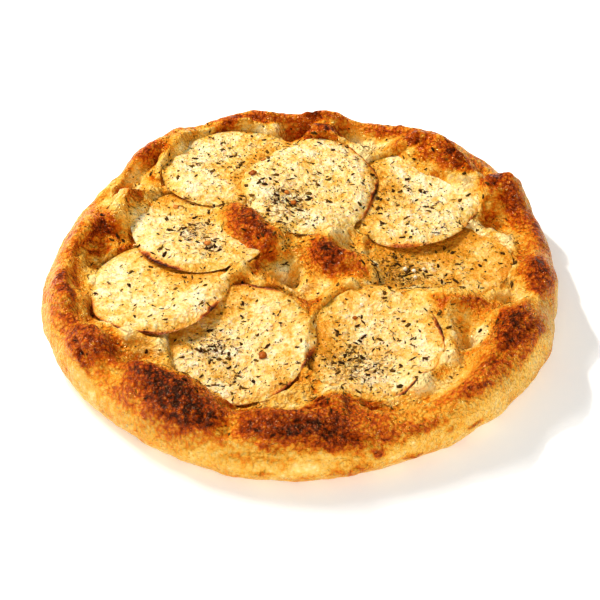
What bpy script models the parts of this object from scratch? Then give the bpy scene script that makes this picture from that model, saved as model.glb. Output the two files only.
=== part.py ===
"""Potato focaccia: a round flatbread with a knobbly browned rim and eight thin potato slices.

The origin is on the surface that the bread lies on, under its middle. Z points up, the side
that faces the viewer is at -Y. Sizes below are in millimetres and degrees, meshes in metres.
"""

import math

import bpy
import numpy as np
from mathutils import Matrix, Vector
from mathutils.bvhtree import BVHTree

MM = 0.001

# Driving sizes of the bread
BREAD_RADIUS = 115.4
RIM_HEIGHT = 22.0
BED_HEIGHT = 13.5
WALL_BULGE_SHARE = 0.42
BASE_RADIUS_SHARE = 0.93
RIM_CREST_SHARE = 0.915
RIM_FOOT_SHARE = 0.82
CREST_SHIFT = 0.020
FOOT_SHIFT = 0.060
WALL_LOWER_PART = 0.35
WALL_SWELL_SHARE = 0.45
WALL_SWELL_START = 0.6
LUMP_FLATNESS = 1.3

# Driving sizes of the potato slices
SLICE_THICKNESS = 2.0
SLICE_CLEARANCE = 0.4
SLICE_TAPER = 0.35
SUPPORT_GAP = 0.6
PRESS_BLEND = 0.12
LAP_HEIGHT = 0.3
EDGE_CROWN = 1.0

# Driving sizes of the toppings: flake and grain sizes, and how deep they sit
FLAKE_LENGTH = 3.6
FLAKE_WIDTH = 2.0
FLAKE_THICKNESS = 0.55
TOPPING_DEPTH = 0.45
TOPPING_SPACING = 4.6
EDGE_MARGIN = 3.2
COVER_MARGIN = 1.15
LOOK_ROUND_STEP = 45
TRIES_FOR_FLAKE = 60
HERB_SEED = 7

# How finely the solids are divided
SPOKES = 112
FEWEST_SPOKES = 15
SPOKE_SPACING_SHARE = 0.62
WALL_ROWS = 6
RING_STEP = 6.0
SLICE_SPOKES = 32
SLICE_RINGS = ((1.0, 1), (0.88, 1), (0.5, 2))
REACH_STEP = 0.3
FIRST_REACH_SHARE = 0.3
LAST_REACH_SHARE = 1.35
EDGE_ROUNDS = 3
SHARP_ANGLE = 50.0

# How far the outline departs from a circle: waves around, size and the direction of one peak
OUTLINE_WAVES = ((1, 1.4, -15.0), (2, 1.6, 55.0), (4, 0.8, 31.0), (5, 1.3, 42.0))

# Lumps of dough: x, y, height, half length, half width, heading
RIM_KNOBS = {
    "left_inner": (-77.0, 42.0, 9.0, 11.0, 8.0, 60.0),
    "left_upper": (-92.0, 23.0, 10.0, 20.0, 8.5, 66.0),
    "left": (-102.0, -20.0, 8.0, 17.0, 9.0, -82.0),
    "left_lower": (-88.0, -53.0, 9.0, 12.0, 10.0, -60.0),
    "front_left": (-51.0, -83.0, 13.5, 22.0, 13.0, -36.0),
    "front_left_upper": (-67.0, -71.0, 6.0, 10.0, 9.0, -40.0),
    "front": (-4.0, -99.5, 10.5, 21.0, 10.0, 0.0),
    "front_inner": (14.0, -86.0, 9.0, 13.0, 8.5, 5.0),
    "right_lower": (75.0, -80.0, 5.0, 20.0, 9.0, 45.0),
    "right_front": (93.0, -43.0, 12.0, 18.0, 13.0, 62.0),
    "right": (105.0, -8.0, 9.5, 13.0, 9.0, 88.0),
    "right_upper": (94.0, 49.5, 12.0, 10.0, 9.0, 110.0),
    "back_right": (62.0, 79.5, 11.5, 20.0, 10.0, -38.0),
    "back_right_inner": (72.0, 65.0, 6.0, 13.0, 7.0, -45.0),
    "back": (10.0, 99.0, 10.5, 12.0, 10.0, 0.0),
    "back_left": (-24.0, 104.0, 5.0, 18.0, 7.0, 12.0),
    "left_back": (-63.0, 84.0, 6.0, 20.0, 8.0, 38.0),
}
BED_KNOBS = {
    "centre_left": (-23.9, 25.0, 13.0, 19.5, 8.6, -54.0),
    "centre": (13.0, 3.0, 13.5, 11.5, 10.0, -25.0),
    "centre_tail": (27.0, -0.5, 7.0, 10.0, 7.5, -28.0),
    "beside_back": (31.0, 18.5, 4.0, 6.0, 5.0, 0.0),
    "between_left": (-29.0, -8.0, 3.5, 6.5, 5.0, 20.0),
    "right_ridge": (66.0, -24.0, 10.0, 24.0, 9.0, -24.0),
    "right_shelf": (74.0, -55.0, 5.0, 12.0, 12.0, 0.0),
}
HOLLOWS = {
    "centre": (-8.0, 2.0, -5.0, 10.0, 5.0, -10.0),
    "back_right": (22.0, 36.0, -4.0, 6.0, 5.0, 30.0),
    "front": (2.0, -11.0, -3.0, 4.0, 4.0, 0.0),
    "back": (-1.0, 97.0, -8.0, 8.0, 5.0, 0.0),
    "dimple": (72.5, -44.0, -9.0, 5.5, 5.0, 20.0),
    "right": (88.0, 38.0, -6.0, 9.0, 6.0, 65.0),
    "left": (-92.0, 12.0, -4.0, 8.0, 5.0, 75.0),
    "left_lower": (-95.0, -11.0, -3.0, 10.0, 4.0, 85.0),
}

# Slices from the lowest of the stack to the highest: middle x, y and z, radii, heading, slopes
# along X and Y, depth of the dish, and where the edge curls up: direction, spread and lift
SLICES = {
    "slice_right": (62.0, 7.5, 16.5, 33.0, 28.5, -10.0, 0.00, 0.00, 2.0, ((-10, 40, 1.0),)),
    "slice_right_back": (50.5, 48.5, 20.2, 33.0, 31.5, 80.0, 0.00, -0.01, 1.6, ((-60, 50, 2.0),)),
    "slice_front_right": (32.5, -44.8, 16.3, 32.5, 29.5, 85.0, 0.05, 0.12, 3.2,
                          ((-52, 12, 4.5), (0, 40, 1.0))),
    "slice_front_left": (-25.8, -45.5, 16.9, 34.5, 31.8, 85.0, 0.05, 0.10, 2.8, ((10, 50, 1.2),)),
    "slice_left": (-63.0, -12.0, 20.8, 32.5, 30.5, 80.0, 0.075, -0.085, 0.8, ((-40, 50, 1.2),)),
    "slice_left_back": (-45.0, 25.0, 22.3, 33.5, 29.5, -30.0, 0.00, -0.09, 1.0, ((-100, 55, 1.0),)),
    "slice_back_left": (-30.0, 69.5, 22.6, 34.0, 28.0, 20.0, -0.05, -0.03, 1.0, ((-140, 40, 1.2),)),
    "slice_back": (4.5, 53.5, 24.9, 35.0, 31.0, 75.0, -0.05, 0.00, 0.8, ((10, 60, 1.0),)),
}
SLICE_WAVES = ((3, 0.020), (5, 0.012), (7, 0.008))

# Where the dried herbs lie thickest: x, y, spread and how many flakes
HERB_CLUSTERS = {
    "slice_right": ((50.0, 2.0, 8.0, 6), (70.0, 4.0, 12.0, 4)),
    "slice_right_back": ((50.0, 46.0, 12.0, 5), (64.0, 38.0, 8.0, 3)),
    "slice_front_right": ((24.0, -55.0, 9.0, 7), (34.0, -40.0, 14.0, 4)),
    "slice_front_left": ((-34.0, -44.0, 7.0, 5), (-22.0, -50.0, 16.0, 4)),
    "slice_left": ((-86.0, -16.0, 3.0, 1), (-55.0, -12.0, 14.0, 3)),
    "slice_left_back": ((-48.0, 24.0, 7.0, 5), (-50.0, 18.0, 14.0, 3)),
    "slice_back_left": ((-42.0, 68.0, 8.0, 5), (-24.0, 80.0, 12.0, 3)),
    "slice_back": ((-4.0, 44.0, 6.0, 5), (12.0, 56.0, 14.0, 4)),
    "bread": ((-50.0, -84.0, 14.0, 3), (14.0, -90.0, 10.0, 3), (88.0, -40.0, 12.0, 3),
              (-92.0, 10.0, 12.0, 2), (10.0, 8.0, 6.0, 2), (58.0, 80.0, 10.0, 2)),
}
# Coarse salt and small browned crumbs: x, y, size
SALT_GRAINS = {
    "slice_right": ((47.0, 3.5, 2.4), (51.0, 2.4, 2.2), (55.5, 3.6, 2.0), (51.5, -2.4, 2.1)),
    "slice_right_back": ((56.0, 52.0, 1.8),),
    "slice_front_right": ((27.0, -23.5, 2.4),),
}
CRUMBS = {
    "slice_front_right": ((24.0, -30.0, 2.4),),
    "slice_front_left": ((-16.0, -52.0, 4.4),),
    "slice_left_back": ((-41.5, 12.5, 3.8), (-57.0, 42.0, 3.0)),
    "slice_back_left": ((-22.0, 60.5, 4.4), (-17.0, 73.0, 3.0)),
    "slice_back": ((-3.0, 39.5, 3.6), (-6.0, 47.0, 3.0)),
}


def smooth_step(value):
    value = np.clip(value, 0.0, 1.0)
    return value * value * (3.0 - 2.0 * value)


def lump(x, y, feature):
    """Height of one rounded lump or hollow at each point."""
    centre_x, centre_y, height, half_length, half_width, heading = feature
    turn = math.radians(heading)
    along = (x - centre_x) * math.cos(turn) + (y - centre_y) * math.sin(turn)
    across = (y - centre_y) * math.cos(turn) - (x - centre_x) * math.sin(turn)
    away = (along / half_length) ** 2 + (across / half_width) ** 2
    return height * np.exp(-(away**LUMP_FLATNESS))


def lumps(x, y, *groups):
    return sum(lump(x, y, feature) for group in groups for feature in group.values())


def outline_radius(angle):
    """Radius of the bread seen from above."""
    radius = BREAD_RADIUS + 0.0 * angle
    for waves, size, peak in OUTLINE_WAVES:
        radius = radius + size * np.cos(waves * (angle - math.radians(peak)))
    return radius


def crest_radius(angle):
    return outline_radius(angle) * (RIM_CREST_SHARE + CREST_SHIFT * np.sin(angle))


def foot_radius(angle):
    return outline_radius(angle) * (RIM_FOOT_SHARE + FOOT_SHIFT * np.sin(angle))


def slice_polar(spec, x, y):
    """Direction of each point from the slice's middle, and its distance as a share of the edge's."""
    centre_x, centre_y, _, long_radius, short_radius, heading = spec[:6]
    direction = np.arctan2(y - centre_y, x - centre_x)
    turned = direction - math.radians(heading)
    edge = 1.0 / np.hypot(np.cos(turned) / long_radius, np.sin(turned) / short_radius)
    for waves, size in SLICE_WAVES:
        edge = edge * (1.0 + size * np.cos(waves * direction + centre_x))
    return direction, np.hypot(x - centre_x, y - centre_y) / edge


def slice_top(spec, x, y):
    """Upper surface of a slice: a tilted shallow dish with its edge curled up in places."""
    centre_x, centre_y, middle, _, _, _, slope_x, slope_y, dish, curls = spec
    direction, share = slice_polar(spec, x, y)
    height = middle + slope_x * (x - centre_x) + slope_y * (y - centre_y)
    height = height + dish * (share**2 - 0.5)
    for towards, spread, lift in curls:
        away = np.angle(np.exp(1j * (direction - math.radians(towards))))
        height = height + lift * np.exp(-((away / math.radians(spread)) ** 2)) * share**4
    return height


def pressed_bed(x, y):
    """Dough inside the rim without its knobs: it follows the underside of the lowest slice."""
    bed = BED_HEIGHT + 0.0 * x
    for spec in reversed(SLICES.values()):
        _, share = slice_polar(spec, x, y)
        underside = slice_top(spec, x, y) - SLICE_THICKNESS - SUPPORT_GAP
        weight = smooth_step((1.0 + PRESS_BLEND - share) / (2.0 * PRESS_BLEND))
        bed = bed + (underside - bed) * weight
    return bed


def dough_height(x, y):
    """Upper surface of the dough inside the rim's crest."""
    angle = np.arctan2(y, x)
    crest = crest_radius(angle)
    foot = foot_radius(angle)
    rise = smooth_step((np.hypot(x, y) - foot) / (crest - foot))
    bed = pressed_bed(x, y)
    return bed + (RIM_HEIGHT - bed) * rise + lumps(x, y, RIM_KNOBS, BED_KNOBS, HOLLOWS)


def mesh_from(name, points, faces):
    mesh = bpy.data.meshes.new(name)
    mesh.from_pydata([tuple(point) for point in np.asarray(points) * MM], [], faces)
    mesh.update()
    return mesh


def add_object(name, mesh, material):
    mesh.materials.append(material)
    thing = bpy.data.objects.new(name, mesh)
    bpy.context.scene.collection.objects.link(thing)
    return thing


def plain_material(name, colour, roughness):
    material = bpy.data.materials.new(name)
    material.use_nodes = True
    shader = material.node_tree.nodes["Principled BSDF"]
    shader.inputs["Base Color"].default_value = (*colour, 1.0)
    shader.inputs["Roughness"].default_value = roughness
    shader.inputs["Metallic"].default_value = 0.0
    return material


def bridge(outer, inner):
    """Triangles between two closed rings of points, the inner one with as many or half as many."""
    faces = []
    count = len(outer)
    step = count // len(inner)
    for k, near in enumerate(inner):
        after = inner[(k + 1) % len(inner)]
        fan = [outer[(k * step + j) % count] for j in range(step + 1)]
        if step == 1:
            faces += [(fan[0], fan[1], after), (fan[0], after, near)]
        else:
            faces += [(fan[0], fan[1], near), (fan[1], after, near), (fan[1], fan[2], after)]
    return faces


def wall_ring(angles, share):
    """One ring round the side wall, from the base at 0 to the rim's crest at 1."""
    outline = outline_radius(angles)
    crest = crest_radius(angles)
    bulge = WALL_BULGE_SHARE * RIM_HEIGHT
    if share < WALL_LOWER_PART:
        turn = share / WALL_LOWER_PART * math.pi / 2.0
        radius = outline * (BASE_RADIUS_SHARE + (1.0 - BASE_RADIUS_SHARE) * math.sin(turn))
        height = bulge * (1.0 - math.cos(turn))
        outward = math.sin(turn)
    else:
        turn = (share - WALL_LOWER_PART) / (1.0 - WALL_LOWER_PART) * math.pi / 2.0
        radius = crest + (outline - crest) * math.cos(turn)
        height = bulge + (RIM_HEIGHT - bulge) * math.sin(turn)
        outward = math.cos(turn)
    x = radius * np.cos(angles)
    y = radius * np.sin(angles)
    swell = lumps(x, y, RIM_KNOBS, HOLLOWS) * smooth_step(share / WALL_SWELL_START)
    reach = radius + WALL_SWELL_SHARE * outward * swell
    raised = height + math.sqrt(1.0 - outward**2) * swell
    return np.stack([reach * np.cos(angles), reach * np.sin(angles), raised], axis=1)


def dough_mesh():
    """The bread before its slices are pressed in: side wall, knobbly top and flat underside."""
    points = []
    rings = []

    def add_ring(ring):
        rings.append(list(range(len(points), len(points) + len(ring))))
        points.extend(ring)

    angles = np.arange(SPOKES) * 2.0 * math.pi / SPOKES
    for row in range(WALL_ROWS + 1):
        add_ring(wall_ring(angles, row / WALL_ROWS))
    count = SPOKES
    rows = int(round(BREAD_RADIUS * RIM_CREST_SHARE / RING_STEP))
    for row in range(1, rows):
        share = 1.0 - row / rows
        spacing = share * BREAD_RADIUS * 2.0 * math.pi / count
        if spacing < SPOKE_SPACING_SHARE * RING_STEP and count > FEWEST_SPOKES:
            count //= 2
        turn = np.arange(count) * 2.0 * math.pi / count
        x = share * crest_radius(turn) * np.cos(turn)
        y = share * crest_radius(turn) * np.sin(turn)
        add_ring(np.stack([x, y, dough_height(x, y)], axis=1))
    faces = []
    for outer, inner in zip(rings, rings[1:]):
        faces += bridge(outer, inner)
    top = len(points)
    points.append((0.0, 0.0, float(dough_height(np.zeros(1), np.zeros(1))[0])))
    last = rings[-1]
    faces += [(last[k], last[(k + 1) % len(last)], top) for k in range(len(last))]
    base = len(points)
    points.append((0.0, 0.0, 0.0))
    first = rings[0]
    faces += [(first[(k + 1) % SPOKES], first[k], base) for k in range(SPOKES)]
    return mesh_from("bread", points, faces)


def slice_reach(spec):
    """How far the slice goes each way before its edge or the dough that laps over it."""
    reach = []
    for k in range(SLICE_SPOKES):
        turn = 2.0 * math.pi * k / SLICE_SPOKES
        out = np.arange(FIRST_REACH_SHARE * spec[3], LAST_REACH_SHARE * spec[3], REACH_STEP)
        x = spec[0] + out * math.cos(turn)
        y = spec[1] + out * math.sin(turn)
        _, share = slice_polar(spec, x, y)
        bare = (share < 1.0) & (dough_height(x, y) < slice_top(spec, x, y) + LAP_HEIGHT)
        covered = np.nonzero(~bare)[0]
        reach.append(out[max(covered[0] - 1, 0)])
    reach = np.array(reach)
    for _ in range(EDGE_ROUNDS):
        reach = np.minimum(reach, (np.roll(reach, 1) + np.roll(reach, -1)) / 2.0 + EDGE_CROWN)
    return reach


def slice_face(spec, reach, lift):
    """Rings of one face of the slice from its edge inwards, with fewer points near the middle."""
    rings = []
    turn = np.arange(SLICE_SPOKES) * 2.0 * math.pi / SLICE_SPOKES
    for share, skip in SLICE_RINGS:
        x = spec[0] + (reach * share * np.cos(turn))[::skip]
        y = spec[1] + (reach * share * np.sin(turn))[::skip]
        rings.append(np.stack([x, y, slice_top(spec, x, y) + lift], axis=1))
    return rings


def sheet_solid(name, spec, upper, lower):
    """A closed solid between two faces that are divided alike."""
    points = []
    faces = []
    edges = []
    for rings, turned in ((upper, False), (lower, True)):
        indices = []
        for ring in rings:
            indices.append(list(range(len(points), len(points) + len(ring))))
            points.extend(ring)
        middle = len(points)
        points.append((spec[0], spec[1], float(np.mean(rings[-1][:, 2]))))
        last = indices[-1]
        found = [(last[k], last[(k + 1) % len(last)], middle) for k in range(len(last))]
        for outer, inner in zip(indices, indices[1:]):
            found += bridge(outer, inner)
        faces += [face[::-1] for face in found] if turned else found
        edges.append(indices[0])
    faces += [face[::-1] for face in bridge(edges[0], edges[1])]
    return mesh_from(name, points, faces)


def slice_solids(name, spec):
    """The slice, and the space that it takes out of the dough up to the open air."""
    reach = slice_reach(spec)
    upper = slice_face(spec, reach, 0.0)
    lower = slice_face(spec, reach - SLICE_TAPER, -SLICE_THICKNESS)
    floor = slice_face(spec, reach + SLICE_CLEARANCE, -SLICE_THICKNESS - SLICE_CLEARANCE)
    sky = [ring * (1.0, 1.0, 0.0) + (0.0, 0.0, 3.0 * RIM_HEIGHT) for ring in floor]
    return sheet_solid(name, spec, upper, lower), sheet_solid(name + "_space", spec, sky, floor)


def closest_slice_share(name, x, y):
    """How near a point is to the slices that would cover it, as a share of their edges."""
    above = list(SLICES)[list(SLICES).index(name) + 1:] if name in SLICES else list(SLICES)
    return min((float(slice_polar(SLICES[other], x, y)[1]) for other in above), default=9.0)


def ground_under(thing):
    """A function that gives the height of the thing's upper face at one place."""
    tree = BVHTree.FromPolygons(
        [point.co for point in thing.data.vertices],
        [face.vertices for face in thing.data.polygons],
    )

    def ground(x, y):
        hit = tree.ray_cast(Vector((x * MM, y * MM, 1.0)), Vector((0.0, 0.0, -1.0)))[0]
        return hit.z / MM

    return ground


def bare_spot(name, x, y):
    """True where a topping lies in the open, clear of edges and of what laps over."""
    x = np.array(float(x))
    y = np.array(float(y))
    if name in SLICES:
        spec = SLICES[name]
        _, share = slice_polar(spec, x, y)
        inside = (1.0 - float(share)) * spec[4] > EDGE_MARGIN
        clear = float(slice_top(spec, x, y) - dough_height(x, y)) > 0.5 * SLICE_THICKNESS
        for turn in np.radians(np.arange(0, 360, LOOK_ROUND_STEP)):
            near_x = x + EDGE_MARGIN * math.cos(turn)
            near_y = y + EDGE_MARGIN * math.sin(turn)
            clear = clear and float(dough_height(near_x, near_y) - slice_top(spec, near_x, near_y)) < 0.0
        return inside and clear and closest_slice_share(name, x, y) > COVER_MARGIN
    crest = float(crest_radius(np.arctan2(y, x)))
    return math.hypot(x, y) < crest - 1.0 and closest_slice_share(name, x, y) > COVER_MARGIN


def herb_spots(name, random):
    """Places for the large herb flakes of one node, thickest where its clusters are."""
    spots = [grain[:2] for grain in SALT_GRAINS.get(name, ()) + CRUMBS.get(name, ())]
    fixed = len(spots)
    for centre_x, centre_y, spread, count in HERB_CLUSTERS[name]:
        found = 0
        for _ in range(TRIES_FOR_FLAKE * count):
            x, y = random.normal((centre_x, centre_y), spread)
            apart = all(math.hypot(x - a, y - b) > TOPPING_SPACING for a, b in spots)
            if apart and bare_spot(name, x, y):
                spots.append((x, y))
                found += 1
            if found == count:
                break
    return spots[fixed:]


def closed_belt(name, low, high, bottom, top):
    """A closed solid of two rings of corners with a point under one and over the other."""
    count = len(low)
    faces = []
    for k in range(count):
        after = (k + 1) % count
        faces += [(after, k, 2 * count), (k + count, after + count, 2 * count + 1)]
        faces += [(k, after, after + count), (k, after + count, k + count)]
    return mesh_from(name, [*low, *high, bottom, top], faces)


def flake_mesh(ground, x, y, random):
    """A thin bent six-sided flake that lies on the surface and reaches a little way into it."""
    heading = random.uniform(0.0, math.pi)
    length = FLAKE_LENGTH * random.uniform(0.8, 1.15)
    width = FLAKE_WIDTH * random.uniform(0.75, 1.1)
    turn = np.arange(6) * math.pi / 3.0 + random.uniform(-0.2, 0.2, 6)
    along = 0.5 * length * np.cos(turn)
    across = 0.5 * width * np.sin(turn)
    edge_x = x + along * math.cos(heading) - across * math.sin(heading)
    edge_y = y + along * math.sin(heading) + across * math.cos(heading)
    heights = [ground(a, b) for a, b in zip(edge_x, edge_y)]
    low = [(a, b, z - TOPPING_DEPTH) for a, b, z in zip(edge_x, edge_y, heights)]
    high = [(a, b, z + 0.5 * FLAKE_THICKNESS) for a, b, z in zip(edge_x, edge_y, heights)]
    middle = ground(x, y)
    return closed_belt("flake", low, high, (x, y, middle - TOPPING_DEPTH), (x, y, middle + FLAKE_THICKNESS))


def grain_mesh(ground, x, y, size, random):
    """A rough crystal or crumb: a ball of few sides with its corners pushed in or out."""
    middle = ground(x, y)
    belts = []
    for height, start in ((-0.25, 0.0), (0.18, 0.4)):
        turn = start + np.arange(4) * math.pi / 2.0 + random.uniform(-0.2, 0.2, 4)
        reach = 0.5 * size * random.uniform(0.85, 1.1, 4)
        level = middle + height * size
        belts.append([(x + r * math.cos(a), y + r * math.sin(a), level) for r, a in zip(reach, turn)])
    return closed_belt("grain", *belts, (x, y, middle - 0.5 * size), (x, y, middle + 0.42 * size))


def settle(thing):
    """Makes the mesh that the thing's modifiers give its own, and drops the modifiers."""
    bpy.context.view_layer.update()
    settled = thing.evaluated_get(bpy.context.evaluated_depsgraph_get())
    mesh = bpy.data.meshes.new_from_object(settled)
    thing.modifiers.clear()
    thing.data = mesh


def combine(thing, tools, operation):
    """Joins the tools to the thing or takes them out of it, for good, and removes them."""
    group = bpy.data.collections.new("tools")
    bpy.context.scene.collection.children.link(group)
    for tool in tools:
        group.objects.link(tool)
    step = thing.modifiers.new(operation.lower(), "BOOLEAN")
    step.operation = operation
    step.operand_type = "COLLECTION"
    step.collection = group
    settle(thing)
    for tool in tools:
        bpy.data.objects.remove(tool)
    bpy.data.collections.remove(group)


def topping_objects(thing, random):
    """The crumbs, salt grains and herb flakes that lie on one thing."""
    ground = ground_under(thing)
    grains = SALT_GRAINS.get(thing.name, ()) + CRUMBS.get(thing.name, ())
    meshes = [grain_mesh(ground, *grain, random) for grain in grains]
    meshes += [flake_mesh(ground, x, y, random) for x, y in herb_spots(thing.name, random)]
    return [bpy.data.objects.new("topping", mesh) for mesh in meshes]


def shade(thing):
    thing.data.shade_smooth()
    thing.data.set_sharp_from_angle(angle=math.radians(SHARP_ANGLE))


def centre(things):
    """Moves everything so that the middle of the bread's box is over the origin."""
    points = np.array([point.co for point in things["bread"].data.vertices])
    middle = (points.min(axis=0) + points.max(axis=0)) / 2.0
    for thing in things.values():
        thing.data.transform(Matrix.Translation((-middle[0], -middle[1], 0.0)))


def build():
    for old in list(bpy.data.objects):
        bpy.data.objects.remove(old)
    crust = plain_material("browned_crust", (0.55, 0.27, 0.08), 0.55)
    potato = plain_material("baked_potato", (0.80, 0.62, 0.28), 0.45)
    things = {"bread": add_object("bread", dough_mesh(), crust)}
    spaces = []
    for name, spec in SLICES.items():
        solid, space = slice_solids(name, spec)
        things[name] = add_object(name, solid, potato)
        spaces.append(bpy.data.objects.new(name + "_space", space))
    for space in spaces:
        combine(things["bread"], [space], "DIFFERENCE")
    random = np.random.default_rng(HERB_SEED)
    for thing in things.values():
        combine(thing, topping_objects(thing, random), "UNION")
        shade(thing)
    centre(things)


build()
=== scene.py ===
"""Looks of a potato focaccia: browned dough, thin potato slices, dried herbs and coarse salt.

Shapes are drawn in millimetres and degrees in the frame of the bread's own drawing, whose origin
is MIDDLE away from the middle of the bread's box. Meshes are made in metres round that middle.
A waver is smooth noise given as height, size in millimetres and seed.
"""

import itertools
import math

import bpy
import numpy as np
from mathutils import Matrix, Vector
from mathutils.bvhtree import BVHTree

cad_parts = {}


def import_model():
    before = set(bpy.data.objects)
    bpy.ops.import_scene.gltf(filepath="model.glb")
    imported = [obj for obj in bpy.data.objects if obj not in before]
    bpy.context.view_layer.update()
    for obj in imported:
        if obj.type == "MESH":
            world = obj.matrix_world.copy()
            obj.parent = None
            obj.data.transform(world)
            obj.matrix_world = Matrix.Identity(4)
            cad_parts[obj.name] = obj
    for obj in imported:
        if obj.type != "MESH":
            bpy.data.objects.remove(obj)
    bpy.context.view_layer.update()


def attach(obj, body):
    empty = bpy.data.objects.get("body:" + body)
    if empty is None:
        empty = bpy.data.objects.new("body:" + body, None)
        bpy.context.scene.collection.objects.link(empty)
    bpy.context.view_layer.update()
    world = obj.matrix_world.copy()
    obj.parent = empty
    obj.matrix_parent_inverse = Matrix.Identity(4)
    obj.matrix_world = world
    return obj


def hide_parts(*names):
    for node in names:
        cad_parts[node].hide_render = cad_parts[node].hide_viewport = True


MM = 0.001
MIDDLE = np.array([0.293, -0.978, 0.0])
FULL_TURN = 2.0 * math.pi

# Shape of the bread, as its solid has it
BREAD_RADIUS = 115.4
RIM_HEIGHT = 22.0
BED_HEIGHT = 13.5
WALL_BULGE_SHARE = 0.42
BASE_RADIUS_SHARE = 0.93
RIM_CREST_SHARE = 0.915
RIM_FOOT_SHARE = 0.82
CREST_SHIFT = 0.020
FOOT_SHIFT = 0.060
WALL_LOWER_PART = 0.35
WALL_SWELL_SHARE = 0.45
WALL_SWELL_START = 0.6
LUMP_FLATNESS = 1.3
SLICE_THICKNESS = 2.0
SUPPORT_GAP = 0.6
SLICE_REACH_LIMIT = 1.06

# How the dough is pressed down by the slices and laps over their edges
PRESS_BLEND = 0.45
LAP_START = 0.965
LAP_WIDTH = 0.075
LAP_RISE = 2.3
LAP_WAVER = (0.7, 8.0, 41)
LAP_END_WIDTH = 0.1
FAR_ABOVE = 100.0
FREE_RISE = 30.0

# Skin of the bread: wavers and blisters, lower on the high knobs, and folds of the moist dough
SKIN_WAVERS = ((0.8, 15.0, 3), (0.6, 7.0, 4))
BLISTER_WAVERS = ((1.0, 5.0, 5), (0.5, 2.8, 6))
BLISTER_SHIFT = 0.4
BLISTER_HEIGHT = 0.45
BROWNED_BLISTER_HEIGHT = 1.1
ROUGH_FROM = 0.25
ROUGH_BLEND = 0.4
SKIN_SHIFT = 0.2
HIGH_SKIN_SHIFT = 0.9
HIGH_FROM = 26.0
HIGH_BLEND = 6.0
TOP_LIMIT = 33.2
TOP_SQUEEZE = 0.7
PLAIN_BASE_HEIGHT = 3.0
DRY_KNOB_HEIGHT = 9.0
FOLD_WAVER = (1.0, 8.0, 21)
SHARP_FOLD_WAVER = (0.7, 4.5, 22)
FOLD_SHIFT = 0.25
FOLD_HEIGHT = 2.1

# Browning of the dough, from 0 for raw to 1 for burnt. The edges of browned places drift along
# each axis with a seed of its own, counted up from the one given
BASE_TOAST = 0.19
CREST_TOAST = 0.17
CREST_SPREAD = 9.0
LOW_WALL_PALENESS = 0.10
LOW_WALL_HEIGHT = 9.0
LOW_WALL_BLEND = 8.0
MOIST_PALENESS = 0.05
# Fold tops paler and fold hollows more golden: painted light and painted shade on the moist dough
FOLD_LIGHT_AND_SHADE = 0.30
TOAST_WAVERS = ((0.10, 11.0, 1), (0.06, 5.0, 2))
EDGE_DRIFTS = ((1.8, 8.0, 31), (1.0, 3.5, 34))
BROWNED_EDGE = 1.2

# Edges and faces of the slices, with widths in millimetres in from the edge
EDGE_THINNING = 0.4
THINNING_START = 0.86
SAG_START = 0.7
MOST_SAG = 3.0
CURL_THAT_SAGS = 1.2
CURL_THAT_STANDS = 3.0
FACE_WAVERS = ((0.55, 13.0, 10), (0.35, 5.0, 11))
RAGGED_WAVERS = ((0.6, 2.2, 7), (0.6, 5.0, 8))
EVEN_TOAST = 0.04
EVEN_TOAST_WIDTH = 2.0
BURNT_WIDTH = 1.25
RAGGED_WIDTH = 0.8
RAGGED_RANGE = (-0.7, 1.0)
RAGGED_STRENGTH = 0.6
UNDERSIDE_TOAST_LIMIT = 0.08
UNDERSIDE_TOAST_BLEND = 0.6
PLAIN_YELLOW = 0.08
EDGE_YELLOW = 0.30
EDGE_YELLOW_WIDTH = 3.0
# Painted golden shade on a slice next to the edges of the slices above it
COVERED_SHADE_YELLOW = 0.5
COVERED_SHADE_SPREAD = 0.26
YELLOW_WAVERS = ((0.22, 13.0, 9), (0.14, 6.0, 15))
PLAIN_DUST = 0.12
CLUSTER_DUST = 0.5

# How finely the looks are divided
SPOKES = 720
WALL_ROWS = 40
BASE_RINGS = (0.1, 0.3, 0.5, 0.7, 0.85, 0.95)
RING_STEP = 0.95
SHORTEST_SIDE_SHARE = 0.55
SLICE_SPOKES = 160
SLICE_RINGS = 44
FIRST_RING_SHARE = 0.02
RING_CROWDING = 0.8

OUTLINE_WAVES = ((1, 1.4, -15.0), (2, 1.6, 55.0), (4, 0.8, 31.0), (5, 1.3, 42.0))

# Lumps of dough: x, y, height, half length, half width, heading
RIM_KNOBS = dict(
    left_inner=(-77, 42, 9, 11, 8, 60),
    left_upper=(-92, 23, 10, 20, 8.5, 66),
    left=(-102, -20, 8, 17, 9, -82),
    left_lower=(-88, -53, 9, 12, 10, -60),
    front_left=(-51, -83, 13.5, 22, 13, -36),
    front_left_upper=(-67, -71, 6, 10, 9, -40),
    front=(-4, -99.5, 10.5, 21, 10, 0),
    front_inner=(14, -86, 9, 13, 8.5, 5),
    right_lower=(75, -80, 5, 20, 9, 45),
    right_front=(93, -43, 12, 18, 13, 62),
    right=(105, -8, 9.5, 13, 9, 88),
    right_upper=(94, 49.5, 12, 10, 9, 110),
    back_right=(62, 79.5, 11.5, 20, 10, -38),
    back_right_inner=(72, 65, 6, 13, 7, -45),
    back=(10, 99, 10.5, 12, 10, 0),
    back_left=(-24, 104, 5, 18, 7, 12),
    left_back=(-63, 84, 6, 20, 8, 38),
)
BED_KNOBS = dict(
    centre_left=(-23.9, 25, 13, 19.5, 8.6, -54),
    centre=(13, 3, 13.5, 11.5, 10, -25),
    centre_tail=(27, -0.5, 7, 10, 7.5, -28),
    beside_back=(31, 18.5, 4, 6, 5, 0),
    between_left=(-29, -8, 3.5, 6.5, 5, 20),
    right_ridge=(66, -24, 10, 24, 9, -24),
    right_shelf=(74, -55, 5, 12, 12, 0),
)
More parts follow.
